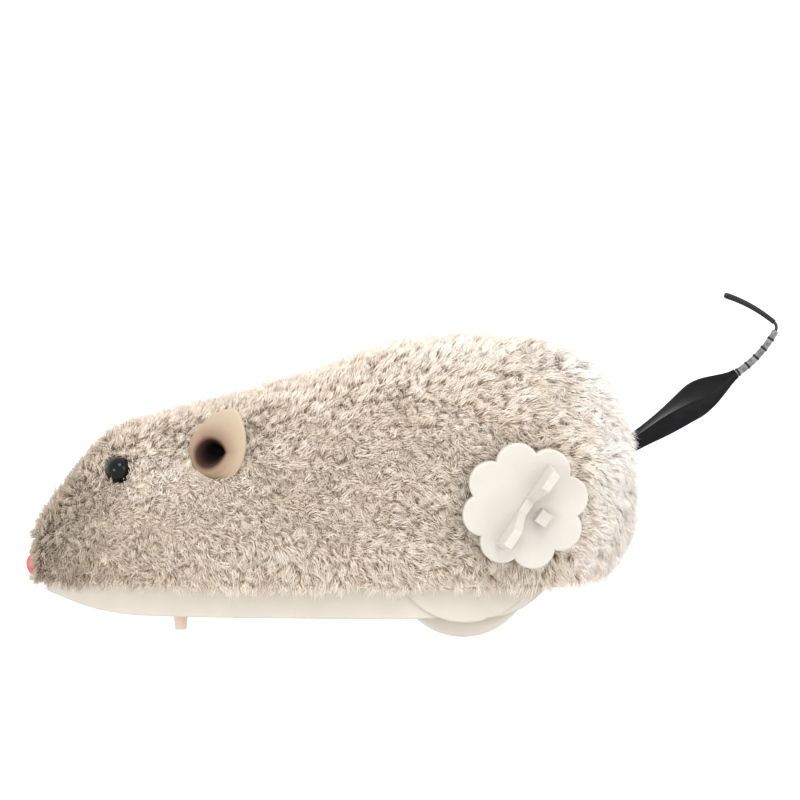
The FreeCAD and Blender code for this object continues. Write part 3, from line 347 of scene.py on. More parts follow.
def vertex_normals(points, corners, normals, areas, chosen):
    """Smooth normals of the outer form at its own vertices, shared by vertices in one place."""
    keys = np.round(points / (0.002 * MM)).astype(np.int64)
    _, group = np.unique(keys, axis=0, return_inverse=True)
    group = group.ravel()
    sums = np.zeros((group.max() + 1, 3))
    for k in range(3):
        np.add.at(sums, group[corners[chosen, k]], normals[chosen] * areas[chosen, None])
    lengths = np.linalg.norm(sums, axis=1)
    outer = lengths > 0
    sums[outer] /= lengths[outer, None]
    return sums[group], outer[group]


def eye_centre(side):
    low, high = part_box("eye_" + side)
    y = low.y + EYE_RADIUS if side == "left" else high.y - EYE_RADIUS
    return np.array([low.x + EYE_RADIUS, y, high.z - EYE_RADIUS])


def nose_centre():
    low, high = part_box("nose")
    return np.array([low.x + NOSE_RADIUS, 0.0, (low.z + high.z) / 2])


def bead_centres():
    return [eye_centre(side) for side in SIDES] + [nose_centre()]


def sample_surface(rng, count, points, corners, areas, chosen, smooth_normals):
    """Random spots on the chosen triangles, with the smooth normal at each."""
    picked = np.flatnonzero(chosen)
    share = areas[picked] / areas[picked].sum()
    triangles = corners[rng.choice(picked, size=count, p=share)]
    along, across = rng.random(count), rng.random(count)
    over = along + across > 1
    along[over], across[over] = 1 - along[over], 1 - across[over]
    weights = np.stack([1 - along - across, along, across], axis=1)
    spots = (points[triangles] * weights[:, :, None]).sum(axis=1)
    normals = unit((smooth_normals[triangles] * weights[:, :, None]).sum(axis=1))
    return spots, normals


def combed(spots, normals):
    """Which way the pile lies: back along the body, down the flanks, in soft swirls."""
    low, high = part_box("fur_cover")
    head = 1 - ease(spots[:, 0], low.x + 22 * MM, low.x + 50 * MM)
    skirt = 1 - ease(spots[:, 2], low.z + 2 * MM, low.z + 12 * MM)
    rump = ease(spots[:, 0], high.x - 40 * MM, high.x - 6 * MM)
    flow = np.stack([
        np.full(len(spots), 1.0) - 0.5 * skirt - 0.45 * rump,
        np.zeros(len(spots)),
        -0.45 - 0.9 * skirt - 0.5 * rump,
    ], axis=1)
    flow = unit(flow - normals * (flow * normals).sum(axis=1)[:, None])
    broad, fine = waves(spots, 34 * MM, 3), waves(spots, 9 * MM, 4)
    turn = (0.75 + 0.5 * head) * broad + (0.55 + 0.6 * head) * fine
    sideways = np.cross(normals, flow)
    return flow * np.cos(turn)[:, None] + sideways * np.sin(turn)[:, None]


def pile_tone(spots):
    """Tone of the pile, 0 dark to 1 pale: darker on the snout and head and a touch at the hem, paler
    on the rump, with painted light that makes the top of the back paler and a painted highlight on
    the cheek.
    """
    low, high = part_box("fur_cover")
    # painted light: the pile is made paler on the top of the back, towards the rear, where the light
    # from above falls
    back = ease(spots[:, 2], 0.62 * high.z, 0.98 * high.z)
    back *= ease(spots[:, 0], low.x + 60 * MM, low.x + 95 * MM)
    rump = ease(spots[:, 0], high.x - 26 * MM, high.x - 4 * MM)
    hem = 1 - ease(spots[:, 2], low.z + 0.5 * MM, low.z + 7 * MM)
    snout = 1 - ease(spots[:, 0], low.x + 2 * MM, low.x + 26 * MM)
    mottle = 0.07 * waves(spots, 16 * MM, 7) + 0.07 * waves(spots, 5 * MM, 8)
    away = spots - eye_centre("left")
    # painted highlight: a pale patch on the cheek behind the eye, on both sides
    cheek_highlight = np.exp(-((away[:, 0] - 8 * MM) ** 2 + away[:, 2] ** 2) / (7 * MM) ** 2)
    head = 1 - ease(spots[:, 0], low.x + 24 * MM, low.x + 44 * MM)
    rump *= 0.55 + 0.45 * ease(spots[:, 2], low.z + 4 * MM, low.z + 26 * MM)
    paler = 0.20 * back + 0.46 * rump + 0.33 * cheek_highlight
    darker = 0.02 * hem + 0.24 * snout + 0.10 * head
    return 0.405 + paler - darker + mottle


def pile_length(spots):
    low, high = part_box("fur_cover")
    body = ease(spots[:, 0], low.x + 4 * MM, low.x + 60 * MM)
    rump = ease(spots[:, 0], high.x - 35 * MM, high.x - 12 * MM)
    end = ease(spots[:, 0], high.x - 9 * MM, high.x - 2 * MM)
    stern = ease(spots[:, 0], high.x - 20 * MM, high.x - 8 * MM) * (
        1 - ease(spots[:, 2], low.z + 5 * MM, low.z + 16 * MM))
    return (
        3.2 + 0.5 * body + 0.9 * rump - 0.2 * end - 0.5 * stern - 1.1 * near_tail(spots)) * MM


def near_tail(spots):
    """1 at the tail's root, easing to 0 further out."""
    away = np.linalg.norm(spots - np.array(joint_origin("tail_swivel")), axis=1)
    return 1 - ease(away, 4.0 * MM, 11.0 * MM)


def pile_lean(spots):
    """Radians from upright: flatter at the hem, the rump and the tail, upright round the beads."""
    low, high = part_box("fur_cover")
    skirt = 1 - ease(spots[:, 2], low.z + 2 * MM, low.z + 14 * MM)
    rump = ease(spots[:, 0], high.x - 45 * MM, high.x - 10 * MM)
    lean = 0.62 + 0.25 * np.maximum(skirt, rump)
    for centre in bead_centres():
        lean *= 0.2 + 0.8 * ease(np.linalg.norm(spots - centre, axis=1), 3.0 * MM, 6.0 * MM)
    return lean + 0.42 * near_tail(spots)


def strand_shapes(rng, spots, normals):
    """Root, middle, tip and shade of each strand, with the strands drawn into small tufts."""
    centres = rng.choice(len(spots), size=int(FUR_AREA / CLUMP_AREA), replace=False)
    tree = KDTree(len(centres))
    for number, centre in enumerate(centres):
        tree.insert(Vector(spots[centre]), number)
    tree.balance()
    tuft = np.array([tree.find(Vector(spot))[1] for spot in spots])

    comb = combed(spots, normals)
    length = pile_length(spots)
    roots = spots - normals * ROOT_DEPTH

    tuft_turn = rng.normal(0, 0.60, len(centres))
    tuft_lean = rng.normal(0, 0.15, len(centres))
    tuft_length = rng.normal(1.0, 0.08, len(centres))
    tuft_tone = rng.normal(0, 0.06, len(centres))

    turn = tuft_turn[tuft] + rng.normal(0, 0.40, len(spots))
    sideways = np.cross(normals, comb)
    comb = comb * np.cos(turn)[:, None] + sideways * np.sin(turn)[:, None]
    lean = np.clip(pile_lean(spots) + tuft_lean[tuft] + rng.normal(0, 0.15, len(spots)), 0.15, 1.25)
    length = length * np.clip(tuft_length[tuft] + rng.normal(0, 0.07, len(spots)), 0.7, 1.25)
    rise = (length * np.cos(lean))[:, None]
    run = (length * np.sin(lean))[:, None]
    middles = roots + normals * rise * 0.62 + comb * run * 0.34
    tips = roots + normals * rise + comb * run

    gather = tips[centres][tuft]
    pull = np.clip(rng.normal(0.36, 0.12, len(spots)), 0.0, 0.7)[:, None]
    tips = tips + (gather - tips) * pull
    middles = middles + (middles[centres][tuft] - middles) * pull * 0.35
    tips = tips + rng.normal(0, 0.16 * MM, tips.shape)
    tone = pile_tone(spots) + tuft_tone[tuft] + rng.normal(0, 0.09, len(spots))
    return roots, middles, tips, np.clip(tone, 0.01, 0.99)


def ear_axis(sign):
    return unit(np.array([[0.50, 0.38 * sign, 0.78]]))[0]


def in_tail_hole(spots):
    """Which spots are in the bare ring round the tail's root, which widens outwards."""
    axis = unit(np.array([joint("tail_swivel")["axis"]], dtype=float))[0]
    away = spots - np.array(joint_origin("tail_swivel"))
    along = away @ axis
    aside = np.linalg.norm(away - along[:, None] * axis, axis=1)
    widening = 0.12 * np.maximum(along + 4 * MM, 0)
    return (along > -12 * MM) & (aside < TAIL_CLEARING + widening)


def in_ear(spots, side, sign):
    """Which spots are in an ear's rolled root, its leaf or its cup."""
    axis = ear_axis(sign)
    away = spots - ear_root(side, sign)
    along = away @ axis
    aside = np.linalg.norm(away - along[:, None] * axis, axis=1)
    rolled = (along > 0) & (along < 9 * MM) & (aside < 2.6 * MM + 0.22 * along)
    middle, up, across, outwards, hole = (np.array(vector) for vector in ear_frame(side, sign))
    away = spots - middle
    sideways, height, depth = away @ across / EAR_WIDE, away @ up / EAR_LONG, away @ outwards
    leaf = (sideways**2 + height**2 < 1.0) & (depth > -1.2 * MM) & (depth < 5 * MM)
    cup = (np.linalg.norm(spots - hole, axis=1) < HOLE_RADIUS + 1.5 * MM) & (depth > -5 * MM)
    return rolled | leaf | cup


def keep_clear(roots, middles, tips):
    """Which strands stay: none in the eyes, nose, ears, the tail's hole or the key's hub."""
    stay = np.ones(len(roots), dtype=bool)
    for spots in (middles, tips):
        stay &= np.linalg.norm(spots - nose_centre(), axis=1) > NOSE_RADIUS
        for side, sign in SIDES.items():
            stay &= np.linalg.norm(spots - eye_centre(side), axis=1) > EYE_RADIUS
            stay &= ~in_ear(spots, side, sign)
    for spots in (roots, middles, tips):
        stay &= ~in_tail_hole(spots)
    key = np.array(joint_origin("key_wind"))
    hub = np.hypot(roots[:, 0] - key[0], roots[:, 2] - key[2]) < HUB_CLEARING
    return stay & ~(hub & (roots[:, 1] < 0))


def ear_middle(side):
    low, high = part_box("ear_" + side)
    return np.array((low + high) / 2)


def ear_root(side, sign):
    """Where the ear leaves the head, down its axis from its middle."""
    return ear_middle(side) - ear_axis(sign) * 6.0 * MM


def ear_frame(side, sign):
    """Middle of the ear's leaf, its way up, across and outwards, and the middle of its hole."""
    up = Vector((0.36, 0.22 * sign, 0.90)).normalized()
    outwards = Vector((-0.45, 0.89 * sign, 0.0))
    outwards = (outwards - up * outwards.dot(up)).normalized()
    middle = Vector(ear_middle(side)) + outwards * EAR_PROUD + up * 0.4 * MM
    across = Vector((1.0, 0.0, 0.0))
    across = (across - up * across.dot(up) - outwards * across.dot(outwards)).normalized()
    hole = middle - up * 3.3 * MM - across * 1.3 * MM
    return middle, up, across, outwards, hole


def under_key(points):
    """Presses the pile down where the key turns over it."""
    key = np.array(joint_origin("key_wind"))
    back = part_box("winding_key")[0].y + KEY_GRIP + KEY_DISC
    near = np.hypot(points[:, 0] - key[0], points[:, 2] - key[2]) < KEY_SWEEP
    low = near & (points[:, 1] < 0)
    points[low, 1] = np.maximum(points[low, 1], back + 0.4 * MM)
    return points


def strand_mesh(name, roots, middles, tips, tones):
    """Tapering three-sided strands, each a closed solid: two rings of three points and a tip."""
    count = len(roots)
    ring = np.arange(3) * 2 * math.pi / 3
    points = np.empty((count, 7, 3))
    starts = ((roots, middles - roots, 0.5, 0), (middles, tips - roots, 0.42, 3))
    for spots, heading, width, offset in starts:
        heading = unit(heading)
        side = unit(np.cross(heading, np.array([0.31, 0.87, 0.38])))
        other = np.cross(heading, side)
        for k, angle in enumerate(ring):
            spoke = side * math.cos(angle) + other * math.sin(angle)
            points[:, offset + k] = spots + HAIR_WIDTH * width * spoke
    points[:, 6] = tips
    pattern = []
    for k in range(3):
        after = (k + 1) % 3
        pattern += [(k, after, 3 + after), (k, 3 + after, 3 + k), (3 + k, 3 + after, 6)]
    pattern.append((0, 2, 1))
    pattern = np.array(pattern)
    faces = (np.arange(count)[:, None, None] * 7 + pattern[None]).reshape(-1)
    shade = (np.floor(tones * TONES) + 0.5) / TONES
    across = np.array([-0.3, 0.3, -0.3, -0.3, 0.3, -0.3, 0.0]) / TONES
    height = np.array([0.02, 0.02, 0.02, 0.5, 0.5, 0.5, 0.98])
    flat = np.empty((count, 7, 2))
    flat[:, :, 0] = shade[:, None] + across
    flat[:, :, 1] = height
    mesh = bpy.data.meshes.new(name)
    mesh.vertices.add(count * 7)
    mesh.vertices.foreach_set("co", points.ravel())
    triangles = len(faces) // 3
    mesh.loops.add(len(faces))
    mesh.loops.foreach_set("vertex_index", faces)
    mesh.polygons.add(triangles)
    mesh.polygons.foreach_set("loop_start", np.arange(triangles) * 3)
    mesh.polygons.foreach_set("loop_total", np.full(triangles, 3))
    mesh.uv_layers.new(name="OFBake")
    mesh.uv_layers["OFBake"].data.foreach_set("uv", flat.reshape(-1, 2)[faces].ravel())
    mesh.update(calc_edges=True)
    smooth(mesh)
    return mesh


def make_backing(points, corners, smooth_normals, outer):
    """The backing cloth: the CAD cover, its outer face and the beads' sockets sunk to the roots."""
    moved = points.copy()
    moved[outer] -= smooth_normals[outer] * SKIN_DEPTH
    for centre in bead_centres():
        away = np.linalg.norm(points - centre, axis=1)
        outwards = smooth_normals[outer & (away < 2 * EYE_RADIUS)].mean(axis=0)
        walls = ~outer & (away < SOCKET_REACH)
        moved[walls] -= outwards / np.linalg.norm(outwards) * SKIN_DEPTH
    mesh = mesh_of("fur_backing", moved, corners)
    material = surface(
        "backing_cloth", linear(222, 208, 190), linear(236, 224, 208), (0.9, 1.0), 900, bump=0.5)
    piece = add_object("fur_backing", mesh, material)
    finish_piece(piece, "chassis", "fur", "fur_cover")


def make_under_panel(points):
    """The cloth turned under behind the base, from the base's rear end to the hem's inner edge."""
    base_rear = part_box("base_shell")[1].x
    start = np.array([base_rear - 1.0 * MM, 0.0])
    hem_z = points[:, 2].min()
    rear = (points[:, 2] < hem_z + HEM_BAND) & (points[:, 0] > start[0] - 1 * MM)
    hem = points[rear][:, :2] - start
    turns = np.arctan2(hem[:, 1], hem[:, 0])
    reaches = np.linalg.norm(hem, axis=1)
    columns, rows = 49, 12
    angles = np.linspace(-math.pi / 2, math.pi / 2, columns)
    inner = np.array([reaches[np.argsort(np.abs(turns - angle))[:12]].min() for angle in angles])
    inner = np.convolve(np.pad(inner, 2, mode="edge"), np.full(5, 0.2), mode="valid")
    panel = []
    for row in range(rows + 1):
        share = row / rows
        for angle, reach in zip(angles, inner):
            out = (reach + 1.2 * MM) * share
            sag = 0.9 * MM * math.sin(math.pi * share) * math.cos(angle)
            height = hem_z + 0.8 * MM - sag
            panel.append((start[0] + out * math.cos(angle), out * math.sin(angle), height))
    mesh = mesh_of("fur_under_panel", panel, grid_faces(rows + 1, columns, closed=False))
    piece = add_object("fur_under_panel", mesh, bpy.data.materials["backing_cloth"])
    wall = piece.modifiers.new("Wall", "SOLIDIFY")
    wall.thickness = PANEL_WALL
    wall.offset = 0
    finish_piece(piece, "chassis", "fur")


def make_fur():
    rng = np.random.default_rng(SEED)
    points, corners, normals, areas = node_triangles("fur_cover")
    chosen = outer_faces(points, corners, normals, areas)
    smooth_normals, outer = vertex_normals(points, corners, normals, areas, chosen)
    make_backing(points, corners, smooth_normals, outer)
    make_under_panel(points)
    spots, spot_normals = sample_surface(
        rng, STRANDS, points, corners, areas, chosen, smooth_normals)
    roots, middles, tips, tones = strand_shapes(rng, spots, spot_normals)
    middles, tips = under_key(middles), under_key(tips)
    stay = keep_clear(roots, middles, tips)
    order = np.flatnonzero(stay)[np.argsort(roots[stay, 0], kind="stable")]
    material = fur_material()
    for number, chunk in enumerate(np.array_split(order, PIECES), start=1):
        name = f"fur_pile_{number}"
        mesh = strand_mesh(name, roots[chunk], middles[chunk], tips[chunk], tones[chunk])
        finish_piece(add_object(name, mesh, material), "chassis", "fur")


# ---- face ----------------------------------------------------------------------------------------

def ball(name, centre, radii, material, rings=32, columns=48):
    """A closed ball of quads, with its poles along Y."""
    points = []
    for row in range(1, rings):
        polar = math.pi * row / rings
        for column in range(columns):
            turn = 2 * math.pi * column / columns
            points.append((
                centre[0] + radii[0] * math.sin(polar) * math.cos(turn),
                centre[1] - radii[1] * math.cos(polar),
                centre[2] + radii[2] * math.sin(polar) * math.sin(turn)))
    faces = [tuple(reversed(face)) for face in grid_faces(rings - 1, columns)]
    last = (rings - 2) * columns
    first_pole, last_pole = len(points), len(points) + 1
    for way in (-1, 1):
        points.append((centre[0], centre[1] + way * radii[1], centre[2]))
    for column in range(columns):
        after = (column + 1) % columns
        faces.append((first_pole, column, after))
        faces.append((last_pole, last + after, last + column))
    return add_object(name, mesh_of(name, points, faces), material)


def make_eyes():
    black, nodes, links, shader = new_material("eye_bead", roughness=0.14, specular=0.45)
    shader.inputs["IOR"].default_value = 1.3
    tint = add_noise(nodes, links, 300)
    ramp = add_ramp(nodes, links, tint.outputs["Fac"], [
        (0.3, linear(3, 3, 4)),
        (0.8, linear(9, 9, 10)),
    ])
    links.new(ramp.outputs["Color"], shader.inputs["Base Color"])
    for side in SIDES:
        radii = [0.93 * EYE_RADIUS, EYE_RADIUS, EYE_RADIUS]
        piece = ball("bead_eye_" + side, eye_centre(side), radii, black)
        finish_piece(piece, "chassis", "bead_black", "eye_" + side)


def make_nose():
    pink = surface(
        "nose_flock", linear(176, 78, 82), linear(206, 122, 116), (0.85, 0.95), 900, bump=1.0)
    centre = nose_centre()
    piece = ball("nose_bead", centre, [0.95 * NOSE_RADIUS, NOSE_RADIUS, NOSE_RADIUS], pink)
    lumps = piece.data.vertices
    spots = np.array([tuple(vertex.co) for vertex in lumps])
    swell = 1 + 0.05 * waves(spots, 1.6 * MM, 11) + 0.04 * waves(spots, 0.7 * MM, 12)
    for vertex, spot, factor in zip(lumps, spots, swell):
        vertex.co = centre + (spot - centre) * factor
    finish_piece(piece, "chassis", "nose_pink", "nose")


def ear_outline(turn):
    """The leaf's edge: a teardrop in units of its half length and half width, tip upwards."""
    up = math.sin(turn)
    return math.cos(turn) * (1 - up) ** 0.22, up


def ear_material(side, hole, outwards):
    """Pale leather with painted shade: it darkens to near black towards the line through the hole.
    """
    leather, nodes, links, shader = new_material(
        "ear_leather_" + side, roughness=0.8, specular=0.15)
    place = nodes.new("ShaderNodeTexCoord")
    away = nodes.new("ShaderNodeVectorMath")
    away.operation = "SUBTRACT"
    away.inputs[1].default_value = hole
    links.new(place.outputs["Object"], away.inputs[0])
    aside = nodes.new("ShaderNodeVectorMath")
    aside.operation = "CROSS_PRODUCT"
    aside.inputs[1].default_value = outwards
    links.new(away.outputs["Vector"], aside.inputs[0])
    distance = nodes.new("ShaderNodeVectorMath")
    distance.operation = "LENGTH"
    links.new(aside.outputs["Vector"], distance.inputs[0])
    share = nodes.new("ShaderNodeMapRange")
    share.inputs["From Max"].default_value = 12 * MM
    links.new(distance.outputs["Value"], share.inputs["Value"])
    # painted shade: near black at the hole, paling outwards, where the cup's hollow is in shadow
    ramp = add_ramp(nodes, links, share.outputs["Result"], [
        (0.14, linear(18, 11, 8)),
        (0.23, linear(62, 42, 32)),
        (0.31, linear(138, 115, 96)),
        (0.55, linear(166, 147, 125)),
        (1.00, linear(180, 166, 143)),
    ])
    links.new(ramp.outputs["Color"], shader.inputs["Base Color"])
    relief = nodes.new("ShaderNodeBump")
    relief.inputs["Strength"].default_value = 0.3
    relief.inputs["Distance"].default_value = 0.1 * MM
    grain = add_noise(nodes, links, 3000)
    links.new(grain.outputs["Fac"], relief.inputs["Height"])
    links.new(relief.outputs["Normal"], shader.inputs["Normal"])
    return leather


def ear_relief(travel, share, turn):
    """How far the leaf stands out, at this travel from its hole and share of the way out."""
    low_side = max(0.0, -math.sin(turn))
    depth = HOLE_DEPTH * math.exp(-((travel / HOLE_RADIUS) ** 4))
    bowl = 2.0 * MM * (1 - share) ** 1.2 * (1 - 0.8 * low_side)
    lip = 1.5 * MM * low_side * math.exp(-(((travel - 4.2 * MM) / (1.1 * MM)) ** 2))
    curl = 1.2 * MM * (0.4 + low_side) * max(0.0, share - 0.75) / 0.25
    return lip - depth - bowl - curl * (0.3 + 0.7 * low_side)


def make_ears():
    """Each ear is a leaf of thin leather rolled into a cup, its lower edge folded into a lip."""
    columns, rows = 72, 26
    for side, sign in SIDES.items():
        middle, up, across, outwards, hole = ear_frame(side, sign)
        rings = []
        for row in range(rows + 1):
            share = row / rows
            ring = []
            for column in range(columns):
                turn = 2 * math.pi * column / columns
                edge_across, edge_up = ear_outline(turn)
                rim = middle + across * edge_across * EAR_WIDE + up * edge_up * EAR_LONG
                reach = 0.1 + 0.9 * share
                travel = (rim - hole).length * reach * (1 + 0.3 * abs(math.sin(turn)))
                relief = outwards * ear_relief(travel, share, turn)
                ring.append(hole + (rim - hole) * reach + relief)
            rings.append(ring)
        points = [point for ring in rings for point in ring]
        faces = grid_faces(rows + 1, columns) + [tuple(reversed(range(columns)))]
        mesh = mesh_of("leather_ear_" + side, points, faces)
        piece = add_object("leather_ear_" + side, mesh, ear_material(side, hole, outwards))
        wall = piece.modifiers.new("Wall", "SOLIDIFY")
        wall.thickness = EAR_WALL
        wall.offset = -1 if sign < 0 else 1
        subdivide(piece, 1)
        finish_piece(piece, "chassis", "ear_leather", "ear_" + side)


# ---- tail ----------------------------------------------------------------------------------------

BULB_LENGTH = 28.7 * MM
BULB_RADII = [             # distance from the root and radius there, in millimetres
    (0.0, 1.95), (5.0, 2.3), (10.0, 3.0), (14.0, 3.55), (18.4, 3.9),
    (21.2, 3.35), (24.4, 2.2), (27.4, 1.15), (28.7, 1.0)]
BULB_REACH = 0.5 * MM      # how far the bulb's root reaches back into the pile
BULB_DROP = 0.9 * MM       # how far its root hangs under the tail's axis
BULB_CORNERS = [0.0, 64.0, 148.0, 214.0, 287.0]  # turn of each crease round the bulb, in degrees
SIDE_STEPS = 14
BEND_RADIUS, BEND_TURN = 25.0 * MM, math.radians(29.5)
HOOK_RADIUS, HOOK_TURN = 1.5 * MM, math.radians(79.0)
END_RADIUS, END_TURN = 33.0 * MM, math.radians(22.0)
SLEEVE_RADIUS = 0.9 * MM
TIP_RADIUS = 0.68 * MM
RING_COUNT = 5
SLEEVE_STEPS = 120
RING_STEPS = 6             # how much of the sleeve's steps each ring covers


def tail_frame():
    root = joint_origin("tail_swivel")
    axis = Vector(joint("tail_swivel")["axis"]).normalized()
    return root, axis


def bulb_radius(along):
    distances = [place * MM for place, radius in BULB_RADII]
    radii = [radius * MM for place, radius in BULB_RADII]
    window = np.linspace(-1.2 * MM, 1.2 * MM, 7)
    return float(np.interp(along + window, distances, radii).mean())


def make_bulb(root, axis):
    """A spindle of black film with five creased sides, cut into short prongs at its root."""
    gloss, nodes, links, shader = new_material("tail_film", roughness=0.2, specular=0.3)
    shader.inputs["IOR"].default_value = 1.3
    streaks = add_noise(nodes, links, 700, detail=5, stretch=(0.35, 1, 0.6))
    ramp = add_ramp(nodes, links, streaks.outputs["Fac"], [
        (0.35, linear(3, 3, 4)),
        (0.75, linear(16, 16, 19)),
    ])
    links.new(ramp.outputs["Color"], shader.inputs["Base Color"])
    relief = nodes.new("ShaderNodeBump")
    relief.inputs["Strength"].default_value = 0.35
    relief.inputs["Distance"].default_value = 0.15 * MM
    links.new(streaks.outputs["Fac"], relief.inputs["Height"])
    links.new(relief.outputs["Normal"], shader.inputs["Normal"])
    side = Vector((0, 1, 0))
    other = axis.cross(side)
    rows = 60
    rings = []
    for row in range(rows + 1):
        share = row / rows
        radius = bulb_radius(BULB_LENGTH * share)
        hollow = math.sin(math.pi * min(1.0, share + 0.15))
        corners = []
        for number, angle in enumerate(BULB_CORNERS):
            turn = math.radians(angle + 26 * share + 9 * math.sin(5 * share + 1.9 * number))
            reach = radius * (1.06 + 0.09 * math.sin(7 * share + 2.3 * number))
            corners.append(side * reach * math.cos(turn) + other * reach * math.sin(turn))
        ring = []
        for number, corner in enumerate(corners):
            after = corners[(number + 1) % len(corners)]
            for step in range(SIDE_STEPS):
                part = step / SIDE_STEPS
                sag = 1 - 0.10 * math.sin(math.pi * part) * hollow
                prong = 1.4 * MM * abs(2 * part - 1) ** 1.6 * max(0.0, 1 - share * 9)
                spot = corner.lerp(after, part) * sag
                along = BULB_LENGTH * share - prong - BULB_REACH * (1 - share) ** 3
                ring.append(root + axis * along - other * BULB_DROP * (1 - share) ** 0.7 + spot)
        rings.append(ring)
    piece = capped_tube("tail_spindle", rings, gloss)
    finish_piece(piece, "tail", "tail_black", "tail_bulb")


def arc_frames(start, heading, radius, turn, steps):
    """Points and headings along an arc in the mouse's mid plane that bends upwards and forwards."""
    side = Vector((0, 1, 0))
    leftwards = heading.cross(side)
    centre = start + leftwards * radius
    frames = []
    for step in range(steps + 1):
        angle = turn * step / steps
        way = heading * math.cos(angle) + leftwards * math.sin(angle)
        spot = centre + heading * radius * math.sin(angle) - leftwards * radius * math.cos(angle)
        frames.append((spot, way))
    return frames


def ringed_tube(name, frames, profile, material, columns=20):
    """A tube along frames whose radius follows a function of the share of its length."""
    side = Vector((0, 1, 0))
    rings = []
    for number, (spot, way) in enumerate(frames):
        radius = profile(number / (len(frames) - 1))
        other = way.cross(side)
        turns = [2 * math.pi * k / columns for k in range(columns)]
        rings.append([
            spot + side * radius * math.cos(turn) + other * radius * math.sin(turn)
            for turn in turns])
    return capped_tube(name, rings, material)


def make_tail():
    root, axis = tail_frame()
    make_bulb(root, axis)
    silver = surface(
        "tail_sleeve", linear(66, 66, 68), linear(124, 124, 126), (0.3, 0.45), 900, bump=0.3,
        specular=0.6)
    dark = surface(
        "tail_rings", linear(6, 6, 8), linear(22, 22, 25), (0.35, 0.5), 900, bump=0.2, specular=0.3)
    bend = arc_frames(root + axis * BULB_LENGTH, axis, BEND_RADIUS, BEND_TURN, SLEEVE_STEPS)

    def sleeve_radius(share):
        waist = 0.9 + 0.1 * abs(math.sin(math.pi * RING_COUNT * 2 * share)) ** 0.5
        return SLEEVE_RADIUS * (1.0 - 0.2 * share) * waist

    def ring_radius(share):
        return radius * (0.86 + 0.14 * math.sin(math.pi * share))

    def tip_radius(share):
        return TIP_RADIUS * (0.8 + 0.2 * share) * (1 - 0.25 * max(0.0, share - 0.96) / 0.04)

    sleeve = ringed_tube("tail_ringed_sleeve", bend, sleeve_radius, silver)
    finish_piece(sleeve, "tail", "tail_core", "tail_sleeve")
    for number in range(RING_COUNT):
        at = (number + 0.12) / RING_COUNT
        first = int(at * SLEEVE_STEPS)
        band = bend[first:first + RING_STEPS]
        radius = SLEEVE_RADIUS * (1.12 - 0.2 * at)
        ring = ringed_tube(f"tail_ring_{number + 1}", band, ring_radius, dark)
        finish_piece(ring, "tail", "tail_black")
    hook = arc_frames(bend[-1][0], bend[-1][1], HOOK_RADIUS, HOOK_TURN, 8)
    end = arc_frames(hook[-1][0], hook[-1][1], END_RADIUS, END_TURN, 60)
    tip = ringed_tube("tail_end_sleeve", end, tip_radius, dark)
    finish_piece(tip, "tail", "tail_black", "tail_tip")


# ---- plastics, metals and the CAD nodes that stay ------------------------------------------------

def paint_nodes():
    cream = surface(
        "cream_plastic", linear(186, 179, 168), linear(194, 186, 175), (0.42, 0.52), 120, bump=0.06,
        bump_scale=1500, bevel=0.7 * MM)
    ivory = surface(
        "key_plastic", linear(182, 177, 168), linear(188, 183, 175), (0.32, 0.42), 150, bump=0.05,
        bump_scale=1200, bevel=0.35 * MM)
    for material in (cream, ivory):
        shader = material.node_tree.nodes["Principled BSDF"]
        shader.inputs["Subsurface Weight"].default_value = 0.25
        shader.inputs["Subsurface Radius"].default_value = (1.0, 0.8, 0.6)
        shader.inputs["Subsurface Scale"].default_value = 1.5 * MM
    peg = surface(
        "peg_plastic", linear(198, 176, 164), linear(206, 186, 176), (0.35, 0.45), 300, bump=0.05)
    peg.node_tree.nodes["Principled BSDF"].inputs["Subsurface Weight"].default_value = 0.3
    shell = surface(
        "shell_plastic", linear(196, 184, 166), linear(210, 198, 180), (0.45, 0.6), 90, bump=0.08,
        bump_scale=900, bevel=0.3 * MM)
    gear = surface(
        "gear_plastic", linear(222, 216, 200), linear(238, 232, 218), (0.35, 0.5), 200, bump=0.08,
        bump_scale=1500, bevel=0.12 * MM)
    finish = {"metallic": 1.0}
    plate = surface(
        "plate_steel", linear(168, 170, 172), linear(196, 198, 200), (0.28, 0.42), 160, bump=0.12,
        bump_scale=2400, bevel=0.15 * MM, **finish)
    shaft = surface(
        "shaft_steel", linear(176, 178, 182), linear(206, 208, 210), (0.16, 0.3), 400, bump=0.05,
        **finish)
    spring = surface(
        "spring_steel", linear(92, 100, 116), linear(134, 140, 150), (0.22, 0.36), 300, bump=0.06,
        **finish)
    screw = surface(
        "screw_steel", linear(150, 148, 144), linear(192, 190, 186), (0.3, 0.45), 500, bump=0.1,
        bevel=0.12 * MM, **finish)
    brass = surface(
        "brass", linear(186, 150, 84), linear(214, 182, 112), (0.22, 0.36), 300, bump=0.06,
        **finish)
    wire = surface(
        "tail_wire", linear(40, 40, 42), linear(84, 84, 86), (0.3, 0.4), 800, bump=0.1, **finish)
    black = surface(
        "black_plastic", linear(22, 22, 24), linear(38, 38, 40), (0.35, 0.5), 400, bump=0.1)
    finishes = {
        "body_shell": shell, "base_shell": cream, "base_screws": screw, "front_peg": peg,
        "motor_plate_left": plate, "motor_plate_right": plate, "motor_pillars": shaft,
        "pillar_screws": screw, "motor_screws": screw, "mainspring": spring, "winding_bush": gear,
        "idler_shaft": shaft, "tail_grommet": black, "great_wheel": gear, "winding_arbor": shaft,
        "clutch_spring": spring, "winding_key": ivory, "idler_gear": gear, "axle_pinion": brass,
        "drive_axle": shaft, "drive_wheel_left": cream, "drive_wheel_right": cream,
        "axle_spacers": gear, "tail_plug": black, "tail_wire": wire,
    }
    for node, material in finishes.items():
        piece = frame["nodes"][node]
        for slot in piece.material_slots:
            slot.link = "OBJECT"
            slot.material = material


# ---- studio --------------------------------------------------------------------------------------

